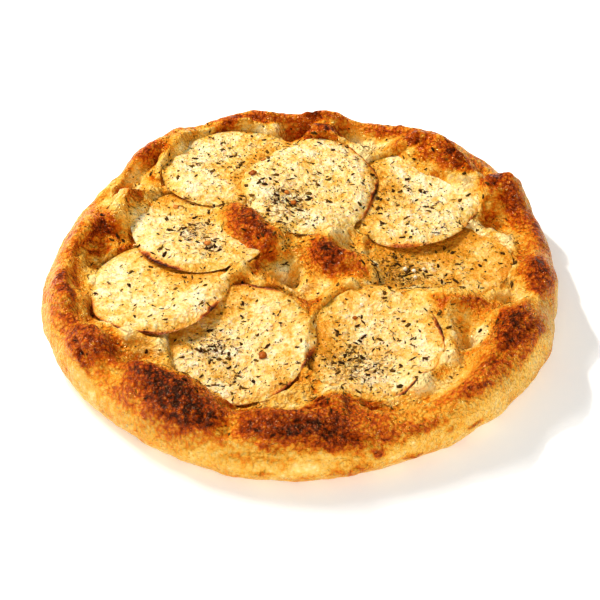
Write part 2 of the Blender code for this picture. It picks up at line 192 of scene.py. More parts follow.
HOLLOWS = dict(
    centre=(-8, 2, -5, 10, 5, -10),
    back_right=(22, 36, -4, 6, 5, 30),
    front=(2, -11, -3, 4, 4, 0),
    back=(-1, 97, -8, 8, 5, 0),
    dimple=(72.5, -44, -9, 5.5, 5, 20),
    right=(88, 38, -6, 9, 6, 65),
    left=(-92, 12, -4, 8, 5, 75),
    left_lower=(-95, -11, -3, 10, 4, 85),
)

# Slices from the lowest of the stack to the highest: middle x, y and z, radii, heading, slopes
# along X and Y, depth of the dish, and where the edge curls up: direction, spread and lift
SLICES = dict(
    slice_right=(62.0, 7.5, 16.5, 33.0, 28.5, -10.0, 0.00, 0.00, 2.0, ((-10, 40, 1.0),)),
    slice_right_back=(50.5, 48.5, 20.2, 33.0, 31.5, 80.0, 0.00, -0.01, 1.6, ((-60, 50, 2.0),)),
    slice_front_right=(32.5, -44.8, 16.3, 32.5, 29.5, 85.0, 0.05, 0.12, 3.2,
                       ((-52, 12, 4.5), (0, 40, 1.0))),
    slice_front_left=(-25.8, -45.5, 16.9, 34.5, 31.8, 85.0, 0.05, 0.10, 2.8, ((10, 50, 1.2),)),
    slice_left=(-63.0, -12.0, 20.8, 32.5, 30.5, 80.0, 0.075, -0.085, 0.8, ((-40, 50, 1.2),)),
    slice_left_back=(-45.0, 25.0, 22.3, 33.5, 29.5, -30.0, 0.00, -0.09, 1.0, ((-100, 55, 1.0),)),
    slice_back_left=(-30.0, 69.5, 22.6, 34.0, 28.0, 20.0, -0.05, -0.03, 1.0, ((-140, 40, 1.2),)),
    slice_back=(4.5, 53.5, 24.9, 35.0, 31.0, 75.0, -0.05, 0.00, 0.8, ((10, 60, 1.0),)),
)
SLICE_WAVES = ((3, 0.020), (5, 0.012), (7, 0.008))

# Where the dough laps over a slice's edge: direction, spread and rise
LAPS = dict(
    slice_right=((15, 60, 1.8), (-25, 30, 1.6), (-60, 60, 1.6)),
    slice_right_back=((60, 70, 1.7),),
    slice_front_right=((150, 50, 1.1), (208, 40, 2.2)),
    slice_front_left=((225, 40, 1.3), (172, 40, 1.8), (60, 30, 0.6)),
    slice_left=((120, 60, 0.9),),
    slice_left_back=((150, 55, 1.2),),
    slice_back_left=((115, 75, 1.5),),
    slice_back=((100, 40, 1), (-130, 40, 0.9)),
)

# The camera: how high it stands in degrees, its distance and what it looks at in metres and in
# the drawing's frame, its focal length and the photo's middle in the photo's pixels
CAMERA_ELEVATION = 42.0
CAMERA_DISTANCE = 1.0
CAMERA_TARGET = (0.0, -0.0125, 0.012)
FOCAL_PIXELS = 2252.0
PHOTO_MIDDLE = 300.0
SENSOR = 36.0

# How a step in the photo becomes one along the skin: the parts of it that are tried in turn, how
# long it may get against one that faces the camera, and the least depth of a place
REACH_PARTS = (1.0, 0.6, 0.3)
STRETCH_LIMIT = 2.2
STRETCH_ALLOWANCE = 1.0
LEAST_DEPTH = 5.0

# Browned and pale places, where they show in the photo, among them painted shade and painted light
# as marked: pixel across and down, level from 0 for raw to 1 for burnt, half length and half
# width in pixels, and tilt in degrees
BROWNED = dict(
    wall_left_pale=(66, 352, 0.22, 44, 12, -62),
    # Paler, partly painted sheen of the key light on the outer wall
    left_outer=(54, 292, 0.34, 32, 12, 84),
    left_spot_upper=(62, 274, 0.72, 7, 5, 0),
    left_spot_lower=(68, 291, 0.76, 11, 6, -60),
    left_low_outer=(72, 325, 0.5, 26, 14, -60),
    left_lower_knob=(92, 336, 0.62, 30, 15, -40),
    left_lower_side=(78, 348, 0.60, 18, 9, -60),
    left_crack=(79, 358, 0.72, 22, 2.5, -72),
    left_lower_gold=(96, 360, 0.38, 13, 7, -10),
    gap_pale=(112, 369, 0.10, 11, 9, -20),
    left_upper_ridge=(92, 231, 0.62, 32, 9, 35),
    left_upper_dark=(106, 226, 0.72, 12, 7, 40),
    left_upper_shade=(84, 241, 0.68, 12, 5, 30),
    left_upper_outer=(68, 242, 0.36, 24, 8, 55),
    left_upper_flank=(98, 247, 0.36, 20, 7, 25),
    left_inner_wall=(84, 268, 0.30, 20, 7, 70),
    left_knob_orange=(131, 194, 0.40, 17, 9, 18),
    left_knob_pale=(116, 181, 0.13, 20, 5, 30),
    left_knob_gap=(106, 200, 0.14, 10, 6, 40),
    back_left_ridge=(152, 154, 0.46, 30, 8, 38),
    back_left_dark=(146, 149, 0.54, 15, 5, 35),
    back_left_pale=(134, 172, 0.14, 12, 4, 70),
    back_left_orange=(200, 129, 0.22, 34, 5, 14),
    inner_left_pale=(150, 186, 0.22, 16, 10, 60),
    oval_brown=(96, 254, 0.60, 8.5, 4, 30),
    slice_gap_dark=(123, 253, 0.66, 6, 3.5, 10),
    slice_left_shade=(80, 291, 0.38, 15, 5, -75),
    back_ridge=(252, 118, 0.56, 34, 5, 3),
    back_ridge_dark=(232, 118, 0.60, 9, 4, 10),
    back_inner_pale=(240, 131, 0.20, 46, 3.5, 6),
    back_knob=(318, 124, 0.72, 26, 15, -20),
    back_knob_top=(313, 113, 0.74, 11, 5, 0),
    back_knob_dark=(322, 131, 0.62, 10, 6, -20),
    back_right_saddle=(352, 127, 0.30, 18, 6, -10),
    back_right_hollow=(355, 142, 0.14, 8, 7, -30),
    back_right_start=(383, 131, 0.56, 24, 7, -10),
    back_right_knob=(432, 146, 0.74, 44, 14, -28),
    back_right_spot=(420, 144, 0.74, 6, 4, 0),
    back_right_top=(452, 149, 0.68, 18, 5, -30),
    back_right_inner=(402, 151, 0.34, 16, 4, -10),
    right_upper_start=(474, 163, 0.44, 14, 7, -25),
    right_upper_knob=(497, 181, 0.84, 16, 9, -20),
    right_upper_flank=(511, 205, 0.64, 22, 11, -66),
    right_outer=(534, 226, 0.58, 26, 9, -62),
    right_upper_pale=(472, 192, 0.12, 8, 16, 0),
    back_right_bubbles=(452, 181, 0.10, 22, 10, -30),
    right_hollow=(493, 226, 0.34, 10, 13, 0),
    # Pale, partly painted light on the inner wall that faces the key light
    right_inner_pale=(505, 240, 0.16, 5, 16, 0),
    right_knob=(538, 270, 0.66, 26, 17, -75),
    right_knob_dark=(538, 261, 0.76, 9, 6, -60),
    right_inner_edge=(513, 272, 0.15, 5, 18, 0),
    right_saddle=(528, 297, 0.12, 15, 6, -20),
    right_outer_low=(553, 305, 0.32, 8, 12, 0),
    ridge_orange=(468, 303, 0.46, 34, 8, -8),
    ridge_spot=(476, 299, 0.64, 9, 4, -10),
    right_front_knob=(514, 322, 0.7, 34, 22, -38),
    right_front_dark=(508, 322, 0.74, 17, 12, -55),
    right_front_spot=(508, 338, 0.76, 12, 6, -10),
    right_front_outer=(537, 328, 0.58, 13, 11, -60),
    right_front_low=(494, 366, 0.48, 17, 13, 20),
    right_front_low_dark=(490, 362, 0.62, 9, 5, 20),
    wall_right_pale=(534, 368, 0.13, 24, 8, 58),
    wall_right_orange=(522, 350, 0.42, 12, 9, 50),
    ridge_lower_right=(472, 389, 0.46, 34, 8, 18),
    ridge_lower_right_dark=(480, 385, 0.66, 15, 3.5, 15),
    ridge_lower_right_end=(463, 393, 0.60, 7, 4, 20),
    lower_right_patch=(421, 430, 0.46, 24, 8, 30),
    lower_right_patch_dark=(419, 429, 0.54, 9, 6, 20),
    wall_lower_right_gold=(482, 402, 0.27, 32, 8, 32),
    wall_lower_right_pale=(462, 430, 0.14, 34, 7, 30),
    front_left_outer=(122, 396, 0.36, 22, 12, -48),
    front_left_knob=(174, 393, 0.66, 58, 30, -34),
    front_left_lit=(148, 368, 0.58, 26, 11, -22),
    front_left_dark_low=(200, 413, 0.8, 26, 9, -24),
    wall_front_left=(172, 432, 0.36, 52, 9, -33),
    wall_front_left_pale=(118, 418, 0.20, 30, 6, -42),
    wall_pale_one=(204, 455, 0.14, 20, 8, -20),
    wall_pale_two=(236, 451, 0.12, 19, 6, -8),
    front_saddle=(226, 427, 0.38, 11, 6, 0),
    front_ridge=(290, 424, 0.62, 50, 17, -6),
    front_ridge_dark=(282, 430, 0.8, 36, 10, -4),
    front_ridge_dark_right=(322, 431, 0.84, 24, 10, -10),
    front_ridge_lit=(290, 410, 0.6, 20, 5, 8),
    front_hump=(330, 397, 0.6, 32, 10, 6),
    front_right_slope=(350, 424, 0.76, 40, 16, -12),
    front_right_low=(326, 446, 0.66, 16, 7, -10),
    front_right_end=(368, 426, 0.46, 20, 13, -20),
    wall_front_orange=(258, 458, 0.32, 34, 6, -4),
    wall_front_spot_one=(226, 445, 0.44, 9, 4, -20),
    wall_front_spot_two=(270, 447, 0.50, 12, 4, -10),
    wall_base_pale=(292, 471, 0.12, 60, 6, 2),
    wall_base_right=(402, 451, 0.13, 42, 8, 17),
    blister=(303, 467, 0.03, 14, 7, 0),
    drop_front=(378, 453, 0.74, 5, 4.5, 0),
    drop_right=(451, 431, 0.44, 5.5, 3, 50),
    base_spot_right=(475, 426, 0.60, 7, 2, 30),
    base_spot_front=(415, 456, 0.54, 12, 1.6, 20),
    base_spot_left=(263, 476, 0.42, 8, 1.6, 0),
    base_spot_middle=(350, 472, 0.42, 14, 1.6, 10),
    beside_knob=(368, 246, 0.46, 6, 4, 0),
    between_left=(236, 287, 0.50, 17, 4.5, -8),
    right_bump=(443, 251, 0.24, 7, 5, 0),
    front_left_dark_upper=(152, 376, 0.8, 18, 11, -20),
    front_left_dark=(172, 390, 0.9, 30, 19, -36),
    left_lower_dark=(100, 341, 0.58, 12, 7, -50),
    front_left_start=(124, 362, 0.46, 12, 7, -20),
    centre_pale_back=(288, 244, 0.1, 12, 8, 0),
    # Golden-brown: painted shade in the valley beside the front-left knob
    front_valley=(229, 423, 0.32, 9, 13, -15),
    # Golden: painted shade in the hollow under slice_front_left's edge
    below_front_left=(236, 407, 0.28, 20, 5, 4),
    centre_left_base=(226, 240, 0.42, 10, 3, -54),
    # Golden, partly painted shade in the hollow under slice_left's edge
    left_low_hollow=(142, 348, 0.24, 20, 9, 0),
    # Golden: painted shade in the hollow under slice_front_right's edge
    below_front_right=(410, 406, 0.24, 26, 7, 14),
    # Golden: painted shade in the valley at the lower right
    valley_painted_shade=(412, 414, 0.3, 18, 6, 20),
    # Pale: painted light on the dimple's lit right side
    dimple_right=(484, 334, 0.1, 5, 12, 0),
    shelf_low=(462, 374, 0.26, 16, 8, 30),
    wall_right_cream=(538, 352, 0.12, 26, 5, 62),
    wall_lower_cream=(500, 400, 0.1, 40, 7, 42),
    wall_front_cream=(330, 458, 0.14, 40, 5, 6),
    wall_left_cream=(84, 386, 0.14, 24, 6, -52),
    hollow_left_shade=(112, 247, 0.34, 14, 8, 30),
    centre_pale=(284, 262, 0.02, 22, 22, 0),
    centre_pale_low=(302, 291, 0.04, 20, 9, -10),
    centre_left_knob=(244, 219, 0.6, 42, 20, -54),
    centre_left_dark=(236, 199, 0.8, 13, 11, -44),
    centre_left_spine=(254, 218, 0.68, 30, 6, -56),
    centre_knob=(337, 260, 0.56, 31, 17, -18),
    centre_knob_left=(310, 264, 0.36, 6, 14, 10),
    centre_knob_dark=(328, 251, 0.8, 18, 11, -24),
    centre_knob_tail=(354, 270, 0.46, 18, 10, -22),
    shelf_top=(454, 314, 0.22, 11, 12, 0),
    shelf_pale=(450, 345, 0.06, 7, 26, 0),
    centre_cream_ridge=(287, 268, 0, 15, 5, 35),
    # Darker: painted shade in the dimple
    dimple=(466, 344, 0.34, 7, 18, 0),
    # Golden: painted shade in the hollow between the centre knobs
    centre_hollow_shade=(266, 274, 0.16, 12, 5, 10),
    centre_left_low=(262, 246, 0.5, 12, 8, -50),
)

# Small ridges, folds and pits of the skin where they show in the photo: pixel across and down,
# height in millimetres, half length and half width in pixels, and tilt in degrees
FORMS = dict(
    left_crack=(78, 350, -2, 22, 3.5, -72),
    left_gap=(112, 370, -2.6, 14, 9, -20),
    front_left_top=(165, 378, 1.6, 30, 14, -35),
    front_left_low_ridge=(196, 406, 1.2, 22, 6, -28),
    back_left_pinch=(152, 149, 1.8, 26, 5, 38),
    back_left_fold=(150, 162, -1.8, 22, 4, 36),
    left_knob_fold=(104, 196, -1.6, 13, 4, 40),
    left_upper_crest=(94, 224, 1.6, 26, 6, 40),
    left_upper_groove=(88, 243, -1.8, 22, 4, 38),
    left_crest=(62, 290, 1.4, 26, 6, -80),
    left_crest_groove=(76, 292, -1.4, 22, 4, -78),
    left_lower_crest=(100, 336, 1.4, 18, 7, -35),
    front_ridge_groove=(238, 432, -1.6, 8, 5, 60),
    front_ridge_top=(280, 412, 1.2, 34, 6, 2),
    front_right_groove=(352, 436, -1, 22, 4, -14),
    front_right_top=(352, 408, 1.2, 26, 6, -14),
    base_blister=(303, 467, 1, 14, 7, 0),
    base_blister_crack=(287, 469, -0.8, 6, 2.2, 60),
    drop_front=(378, 453, 1, 5, 4.5, 0),
    drop_right=(451, 431, 0.9, 5.5, 3, 50),
    right_wrinkle_one=(526, 312, -1.3, 14, 2.6, 50),
    right_wrinkle_two=(534, 326, -1.3, 14, 2.6, 55),
    right_wrinkle_three=(516, 302, -1.1, 12, 2.6, 35),
    right_front_top=(505, 318, 1.4, 20, 9, -60),
    right_fold=(512, 288, -1.6, 14, 4, -60),
    right_upper_top=(496, 178, 1.4, 12, 7, -20),
    right_upper_fold=(500, 205, -1.4, 4, 16, 0),
    right_outer_groove=(524, 240, -1.2, 20, 3.5, -66),
    back_right_top=(432, 140, 1.3, 34, 7, -24),
    back_right_pit=(356, 143, -1.6, 8, 5, -10),
    back_pit=(295, 140, -1.6, 11, 4, -10),
    back_fold=(240, 128, -1.2, 30, 3, 6),
    lower_right_ridge=(472, 388, 1.3, 32, 5, 18),
    lower_right_valley=(430, 408, -1.2, 24, 7, 22),
    centre_pit=(266, 262, -1.6, 10, 6, -10),
    centre_fold=(290, 285, -1.4, 16, 3.5, -12),
    centre_ridge=(286, 266, 1.2, 16, 5, 30),
    front_left_gap=(228, 422, -3.6, 8, 13, -15),
    below_front_right=(412, 402, -2.2, 26, 6, 16),
    below_front_left=(236, 406, -2.2, 18, 5, 4),
    centre_ridge_one=(264, 252, 1.6, 14, 4, 55),
    centre_ridge_two=(287, 268, 1.8, 15, 4.5, 35),
    centre_groove=(274, 266, -2, 15, 4, 30),
    centre_ridge_low=(268, 284, 1.4, 16, 3.5, 8),
    centre_back_groove=(292, 238, -1.8, 12, 4, 30),
    centre_back_ridge=(283, 228, 1.5, 14, 4, 20),
    dimple=(466, 350, -3, 7, 14, 0),
    centre_fill=(281, 272, 3, 17, 11, 0),
    centre_fill_fold=(272, 276, -1.6, 12, 3, 25),
)

# Browning of the slices' edges: direction, spread and strength
EDGE_TOAST = dict(
    slice_right=((-10, 40, 0.1),),
    slice_right_back=((-95, 18, 0.5), (-22, 16, 0.5)),
    slice_front_right=((4, 28, 0.95), (-58, 14, 1.2)),
    slice_front_left=((78, 26, 0.75), (-20, 13, 1.0), (-55, 10, 0.8)),
    slice_left=((-103, 32, 0.9), (-38, 14, 0.85), (200, 20, 0.3)),
    slice_left_back=((-128, 26, 0.95),),
    slice_back_left=((100, 20, 0.2),),
    slice_back=((40, 28, 0.7), (-3, 13, 1.2), (-30, 14, 0.5)),
)

# Slices that are yellower all over, and by how much; on slice_right most of it is painted shade
SLICE_YELLOW = {
    "slice_right": 0.5, "slice_left_back": 0.05, "slice_front_right": 0.20, "slice_front_left": 0.12,
}

# Where the herbs lie thickest: x, y, spread and weight
HERB_CLUSTERS = (
    (42, 1, 8, 3), (60, 2, 14, 1), (45, 52, 12, 1), (33, 78, 8, 0.6),
    (62, 36, 10, 0.7), (20, -56, 6, 2.8), (28, -62, 10, 1.4),
    (35, -42, 16, 0.8), (-38, -47, 5.5, 2.4), (-31, -66, 6, 1.2),
    (-25, -50, 18, 0.8), (-60, -10, 20, 0.2), (-48.5, 23, 5, 2.6),
    (-40, 9, 5, 1.4), (-45, 22, 16, 0.6), (-46, 72, 6, 1),
    (-30, 72, 16, 0.6), (-7, 40, 6.5, 3), (5, 55, 20, 0.9), (-7, 22, 8, 1.2),
    (-52, -88, 14, 0.4), (14, -92, 14, 0.4), (90, -44, 12, 0.4),
)

# Coarse salt and small browned crumbs: x, y, size
SALT_GRAINS = (
    (47, 3.5, 2.4), (51, 2.4, 2.2), (55.5, 3.6, 2), (51.5, -2.4, 2.1), (56, 52, 1.8),
    (27, -23.5, 2.4),
)
CRUMBS = (
    (24, -30, 2.4), (-16, -52, 4.4), (-41.5, 12.5, 3.8), (-57, 42, 3),
    (-22, 60.5, 4.4), (-17, 73, 3), (-3, 39.5, 3.6), (-6, 47, 3),
)

# Shape of the grains and how deep they lie, in shares of their size
GRAIN_SEED = 5
GRAIN_RINGS = ((0.3, 0.38), (0.0, 0.5), (-0.3, 0.38))
GRAIN_UNEVENNESS = (0.6, 1.15)
GRAIN_WAVER = 0.08
GRAIN_DEPTH = -0.10

# How the herbs are strewn: how thick they lie away from the clusters and where they lie thickest
# of all, how much of that the rim lacks, and the power by which small ones outnumber large ones
HERB_SEED = 11
HERB_FIELD_RADIUS = 111.0
PLAIN_DENSITY = 0.24
FULL_DENSITY = 3.5
RIM_BARENESS = 0.75
SMALL_ONES = 2.6

# Shapes of the herbs, in shares of their length
SPECK_UNEVENNESS = (0.7, 1.3)
SPECK_LENGTH = 1.3
SPECK_WIDTHS = (0.35, 0.8)
SPECK_FLATNESS = 0.35
FLAKE_CORNERS = 11
FLAKE_WIDTHS = (0.2, 0.6)
FLAKE_LIFT = 0.05
FLAKE_THICKNESS = 0.08
STRAND_STEPS = 6
STRAND_EDGES = (0.5, 2.6, 4.7)
STRAND_CURLS = 9.0
STRAND_LIFT = 0.02
STRAND_ARCH = 0.10
STRAND_RADIUS = 0.05
STRAND_TAPER = 0.7


def smooth_step(value):
    value = np.clip(value, 0.0, 1.0)
    return value * value * (3.0 - 2.0 * value)


def noise(points, size, seed):
    """Smooth random values from -1 to 1 at points in space, with features about size mm wide."""
    scaled = points / size + 17.3 * seed
    cell = np.floor(scaled).astype(np.int64)
    share = smooth_step(scaled - cell)
    total = np.zeros(len(points))
    for corner in itertools.product((0, 1), repeat=3):
        key = (cell + corner) @ np.array([73856093, 19349663, 83492791]) + seed * 2654435
        key = (key ^ (key >> 13)) * 1274126177
        key = (key ^ (key >> 16)) & 0xFFFF
        weight = np.prod(np.where(corner, share, 1.0 - share), axis=1)
        total += weight * (key / 32767.5 - 1.0)
    return total


def wavers(points, *layers):
    """Layers of noise together, each with its height, size and seed."""
    return sum(height * noise(points, size, seed) for height, size, seed in layers)


def lump(x, y, feature):
    """Height of one rounded lump or hollow at each point."""
    centre_x, centre_y, height, half_length, half_width, heading = feature
    turn = math.radians(heading)
    along = (x - centre_x) * math.cos(turn) + (y - centre_y) * math.sin(turn)
    across = (y - centre_y) * math.cos(turn) - (x - centre_x) * math.sin(turn)
    away = (along / half_length) ** 2 + (across / half_width) ** 2
    return height * np.exp(-(away**LUMP_FLATNESS))


def lumps(x, y, *groups):
    return sum(lump(x, y, feature) for group in groups for feature in group.values())


def outline_radius(angle):
    """Radius of the bread seen from above."""
    radius = BREAD_RADIUS + 0.0 * angle
    for waves, size, peak in OUTLINE_WAVES:
        radius = radius + size * np.cos(waves * (angle - math.radians(peak)))
    return radius


def crest_radius(angle):
    return outline_radius(angle) * (RIM_CREST_SHARE + CREST_SHIFT * np.sin(angle))


def foot_radius(angle):
    return outline_radius(angle) * (RIM_FOOT_SHARE + FOOT_SHIFT * np.sin(angle))


def slice_polar(spec, x, y):
    """Direction of each point from the slice's middle, and its distance as a share of the edge's."""
    centre_x, centre_y, _, long_radius, short_radius, heading = spec[:6]
    direction = np.arctan2(y - centre_y, x - centre_x)
    turned = direction - math.radians(heading)
    edge = 1.0 / np.hypot(np.cos(turned) / long_radius, np.sin(turned) / short_radius)
    for waves, size in SLICE_WAVES:
        edge = edge * (1.0 + size * np.cos(waves * direction + centre_x))
    return direction, np.hypot(x - centre_x, y - centre_y) / edge


def bell(distance, width):
    """1 where the distance is 0, falling to 0 over about twice the width."""
    return np.exp(-((distance / width) ** 2))


def facing(direction, towards, spread):
    """1 where the direction is the one given in degrees, falling to 0 over twice the spread."""
    away = np.angle(np.exp(1j * (direction - math.radians(towards))))
    return bell(np.degrees(away), spread)


def slice_top(spec, x, y):
    """Upper surface of a slice: a tilted shallow dish with its edge curled up in places."""
    centre_x, centre_y, middle, _, _, _, slope_x, slope_y, dish, curls = spec
    direction, share = slice_polar(spec, x, y)
    share = np.minimum(share, SLICE_REACH_LIMIT)
    height = middle + slope_x * (x - centre_x) + slope_y * (y - centre_y)
    height = height + dish * (share**2 - 0.5)
    for towards, spread, lift in curls:
        height = height + lift * facing(direction, towards, spread) * share**4
    return height


def pressed_bed(x, y):
    """Dough inside the rim without its knobs: it lies under the slices and laps their edges."""
    bed = BED_HEIGHT + 0.0 * x
    limit = FAR_ABOVE + bed
    uneven = wavers(np.stack([x, y, bed], axis=-1).reshape(-1, 3), LAP_WAVER).reshape(x.shape)
    for name, spec in reversed(SLICES.items()):
        direction, share = slice_polar(spec, x, y)
        underside = slice_top(spec, x, y) - SLICE_THICKNESS - SUPPORT_GAP
        rise = LAP_RISE + uneven
        for towards, spread, extra in LAPS[name]:
            rise = rise + extra * facing(direction, towards, spread)
        lapped = underside + rise * smooth_step((share - LAP_START) / LAP_WIDTH)
        weight = smooth_step((1.0 + PRESS_BLEND - share) / PRESS_BLEND)
        bed = bed + (lapped - bed) * weight
        free = smooth_step((share - LAP_START - LAP_WIDTH) / LAP_END_WIDTH)
        limit = np.minimum(limit, lapped + FREE_RISE * free)
    return np.minimum(bed, limit)


def rim_rise(x, y):
    """From 0 inside the foot of the rim to 1 at its crest."""
    angle = np.arctan2(y, x)
    foot = foot_radius(angle)
    return smooth_step((np.hypot(x, y) - foot) / (crest_radius(angle) - foot))


def dough_height(x, y):
    """Upper surface of the dough inside the rim's crest."""
    bed = pressed_bed(x, y)
    return bed + (RIM_HEIGHT - bed) * rim_rise(x, y) + lumps(x, y, RIM_KNOBS, BED_KNOBS, HOLLOWS)


def wall_ring(angles, share):
    """One ring round the side wall, from the base at 0 to the rim's crest at 1."""
    outline = outline_radius(angles)
    crest = crest_radius(angles)
    bulge = WALL_BULGE_SHARE * RIM_HEIGHT
    if share < WALL_LOWER_PART:
        turn = share / WALL_LOWER_PART * math.pi / 2.0
        radius = outline * (BASE_RADIUS_SHARE + (1.0 - BASE_RADIUS_SHARE) * math.sin(turn))
        height = bulge * (1.0 - math.cos(turn))
        outward = math.sin(turn)
    else:
        turn = (share - WALL_LOWER_PART) / (1.0 - WALL_LOWER_PART) * math.pi / 2.0
        radius = crest + (outline - crest) * math.cos(turn)
        height = bulge + (RIM_HEIGHT - bulge) * math.sin(turn)
        outward = math.cos(turn)
    x = radius * np.cos(angles)
    y = radius * np.sin(angles)
    swell = lumps(x, y, RIM_KNOBS, HOLLOWS) * smooth_step(share / WALL_SWELL_START)
    reach = radius + WALL_SWELL_SHARE * outward * swell
    raised = height + math.sqrt(1.0 - outward**2) * swell
    return np.stack([reach * np.cos(angles), reach * np.sin(angles), raised], axis=1)


def bridge(outer, inner):
    """Faces between two closed rings of points, the inner one with as many or half as many."""
    count = len(outer)
    after = np.roll(inner, -1)
    if len(inner) == count:
        return [np.stack([outer, np.roll(outer, -1), after, inner], axis=1)]
    even = outer[0::2]
    odd = outer[1::2]
    following = np.roll(even, -1)
    return [
        np.stack([even, odd, inner], axis=1),
        np.stack([odd, following, after], axis=1),
        np.stack([odd, after, inner], axis=1),
    ]


def mesh_from(name, points, face_groups):
    """A smooth mesh in metres round the box's middle from points in the drawing's millimetres."""
    mesh = bpy.data.meshes.new(name)
    faces = [face for group in face_groups for face in group.tolist()]
    mesh.from_pydata(((points - MIDDLE) * MM).tolist(), [], faces)
    mesh.shade_smooth()
    mesh.update()
    return mesh


def drawn_points(mesh):
    """The mesh's points in the drawing's millimetres, and its normals."""
    points = np.zeros(len(mesh.vertices) * 3)
    mesh.vertices.foreach_get("co", points)
    normals = np.zeros(len(mesh.vertices) * 3)
    mesh.vertices.foreach_get("normal", normals)
    return points.reshape(-1, 3) / MM + MIDDLE, normals.reshape(-1, 3)


def move_points(mesh, points):
    mesh.vertices.foreach_set("co", ((points - MIDDLE) * MM).ravel())
    mesh.update()


def tree_of(meshes):
    """The meshes' faces in one tree that a ray can be cast at."""
    points = []
    faces = []
    for mesh in meshes:
        start = len(points)
        points += [point.co for point in mesh.vertices]
        faces += [[start + k for k in face.vertices] for face in mesh.polygons]
    return BVHTree.FromPolygons(points, faces)


def give_values(mesh, name, values):
    """Stores one number for each point of the mesh, for its material to read."""
    store = mesh.attributes.new(name, "FLOAT", "POINT")
    store.data.foreach_set("value", np.asarray(values, dtype=np.float32))


def spokes(count):
    """Directions spaced evenly round a circle."""
    return np.arange(count) * FULL_TURN / count


def fan(ring, tip):
    """Triangles from a closed ring of points to one more point."""
    return np.stack([ring, np.roll(ring, -1), np.full(len(ring), tip)], axis=1)


def ring_mesh(name, rings, low, high):
    """A closed mesh through rings of points, from the low point out and round to the high one."""
    starts = np.cumsum([0] + [len(ring) for ring in rings])
    numbers = [start + np.arange(len(ring)) for start, ring in zip(starts, rings)]
    faces = []
    for ring, following in zip(numbers, numbers[1:]):
        faces += bridge(ring, following)
    faces.append(fan(numbers[0][::-1], starts[-1]))
    faces.append(fan(numbers[-1], starts[-1] + 1))
    return mesh_from(name, np.concatenate(rings + [[low, high]]), faces)


def bread_mesh():
    """The bread's skin, closed by a flat underside."""
    angles = spokes(SPOKES)
    base = wall_ring(angles, 0.0)
    rings = [base * (share, share, 0.0) for share in BASE_RINGS]
    rings += [wall_ring(angles, row / WALL_ROWS) for row in range(WALL_ROWS + 1)]
    count = SPOKES
    rows = int(round(BREAD_RADIUS * RIM_CREST_SHARE / RING_STEP))
    for row in range(1, rows):
        share = 1.0 - row / rows
        side = share * BREAD_RADIUS * FULL_TURN / count
        if side < SHORTEST_SIDE_SHARE * RING_STEP and count % 2 == 0:
            count //= 2
        turn = spokes(count)
        x = share * crest_radius(turn) * np.cos(turn)
        y = share * crest_radius(turn) * np.sin(turn)
        rings.append(np.stack([x, y, dough_height(x, y)], axis=1))
    top = dough_height(np.zeros(1), np.zeros(1))[0]
    return ring_mesh("bread_crust", rings, (0.0, 0.0, 0.0), (0.0, 0.0, top))


def camera_axes():
    """The camera's place in the drawing's millimetres, and its right, up and forward directions."""
    turn = math.radians(CAMERA_ELEVATION)
    forward = np.array([0.0, math.cos(turn), -math.sin(turn)])
    up = np.array([0.0, math.sin(turn), math.cos(turn)])
    place = (np.array(CAMERA_TARGET) - CAMERA_DISTANCE * forward) / MM
    return place, np.array([1.0, 0.0, 0.0]), up, forward


def seen_place(tree, across, down):
    """The place on the skin that shows at one pixel of the photo, or None."""
    place, right, up, forward = camera_axes()
    ray = forward + right * (across - PHOTO_MIDDLE) / FOCAL_PIXELS
    ray = ray - up * (down - PHOTO_MIDDLE) / FOCAL_PIXELS
    hit = tree.ray_cast(Vector((place - MIDDLE) * MM), Vector(ray).normalized())[0]
    return None if hit is None else np.array(hit) / MM + MIDDLE


def seen_reach(tree, across, down, reach, tilt):
    """Half the stretch of skin that shows along a line of the photo, as a step in space."""
    turn = math.radians(tilt)
    middle = seen_place(tree, across, down)
    flat = reach * CAMERA_DISTANCE / MM / FOCAL_PIXELS
    for part in REACH_PARTS:
        step = np.array([math.cos(turn), -math.sin(turn)]) * reach * part
        halves = []
        for side in (-1, 1):
            end = seen_place(tree, across + side * step[0], down + side * step[1])
            if end is not None:
                halves.append((end - middle) * side / part)
        halves = [h for h in halves if np.linalg.norm(h) < STRETCH_LIMIT * flat + STRETCH_ALLOWANCE]
        if halves:
            return sum(halves) / len(halves)
    _, right, up, _ = camera_axes()
    return flat * (math.cos(turn) * right + math.sin(turn) * up)


def seen_frames(tree, patches):
    """For each place seen in the photo its middle, its level and its axes as columns."""
    frames = []
    for across, down, level, length, width, tilt in patches.values():
        middle = seen_place(tree, across, down)
        if middle is None:
            continue
        along = seen_reach(tree, across, down, length, tilt)
        aside = seen_reach(tree, across, down, width, tilt - 90.0)
        normal = np.cross(along, aside)
        depth = max(np.linalg.norm(along), np.linalg.norm(aside), LEAST_DEPTH)
        normal = normal / np.linalg.norm(normal) * depth
        frames.append((middle, level, np.stack([along, aside, normal], axis=1)))
    return frames


def frame_share(points, middle, axes):
    """1 at the middle of a place seen in the photo, falling to 0 outside it."""
    steps = (points - middle) @ np.linalg.inv(axes).T
    return np.exp(-((steps**2).sum(axis=1) ** BROWNED_EDGE))


def drifted(points):
    """The points moved about a little, so that browned places get uneven edges."""
    moved = points
    for height, size, seed in EDGE_DRIFTS:
        layers = [noise(points, size, seed + k) for k in range(3)]
        moved = moved + height * np.stack(layers, axis=1)
    return moved


def bread_toast(points, tree):
    """How brown the dough is at each point, from 0 for pale to 1 for nearly burnt; some is painted
    shade and light.
    """
    x, y, z = points.T
    from_crest = np.hypot(x, y) - crest_radius(np.arctan2(y, x))
    toast = BASE_TOAST + CREST_TOAST * bell(from_crest, CREST_SPREAD)
    toast = toast - LOW_WALL_PALENESS * smooth_step((LOW_WALL_HEIGHT - z) / LOW_WALL_BLEND)
    toast = toast + wavers(points, *TOAST_WAVERS)
    moved = drifted(points)
    for middle, level, axes in seen_frames(tree, BROWNED):
        toast = toast + (level - toast) * frame_share(moved, middle, axes)
    return toast


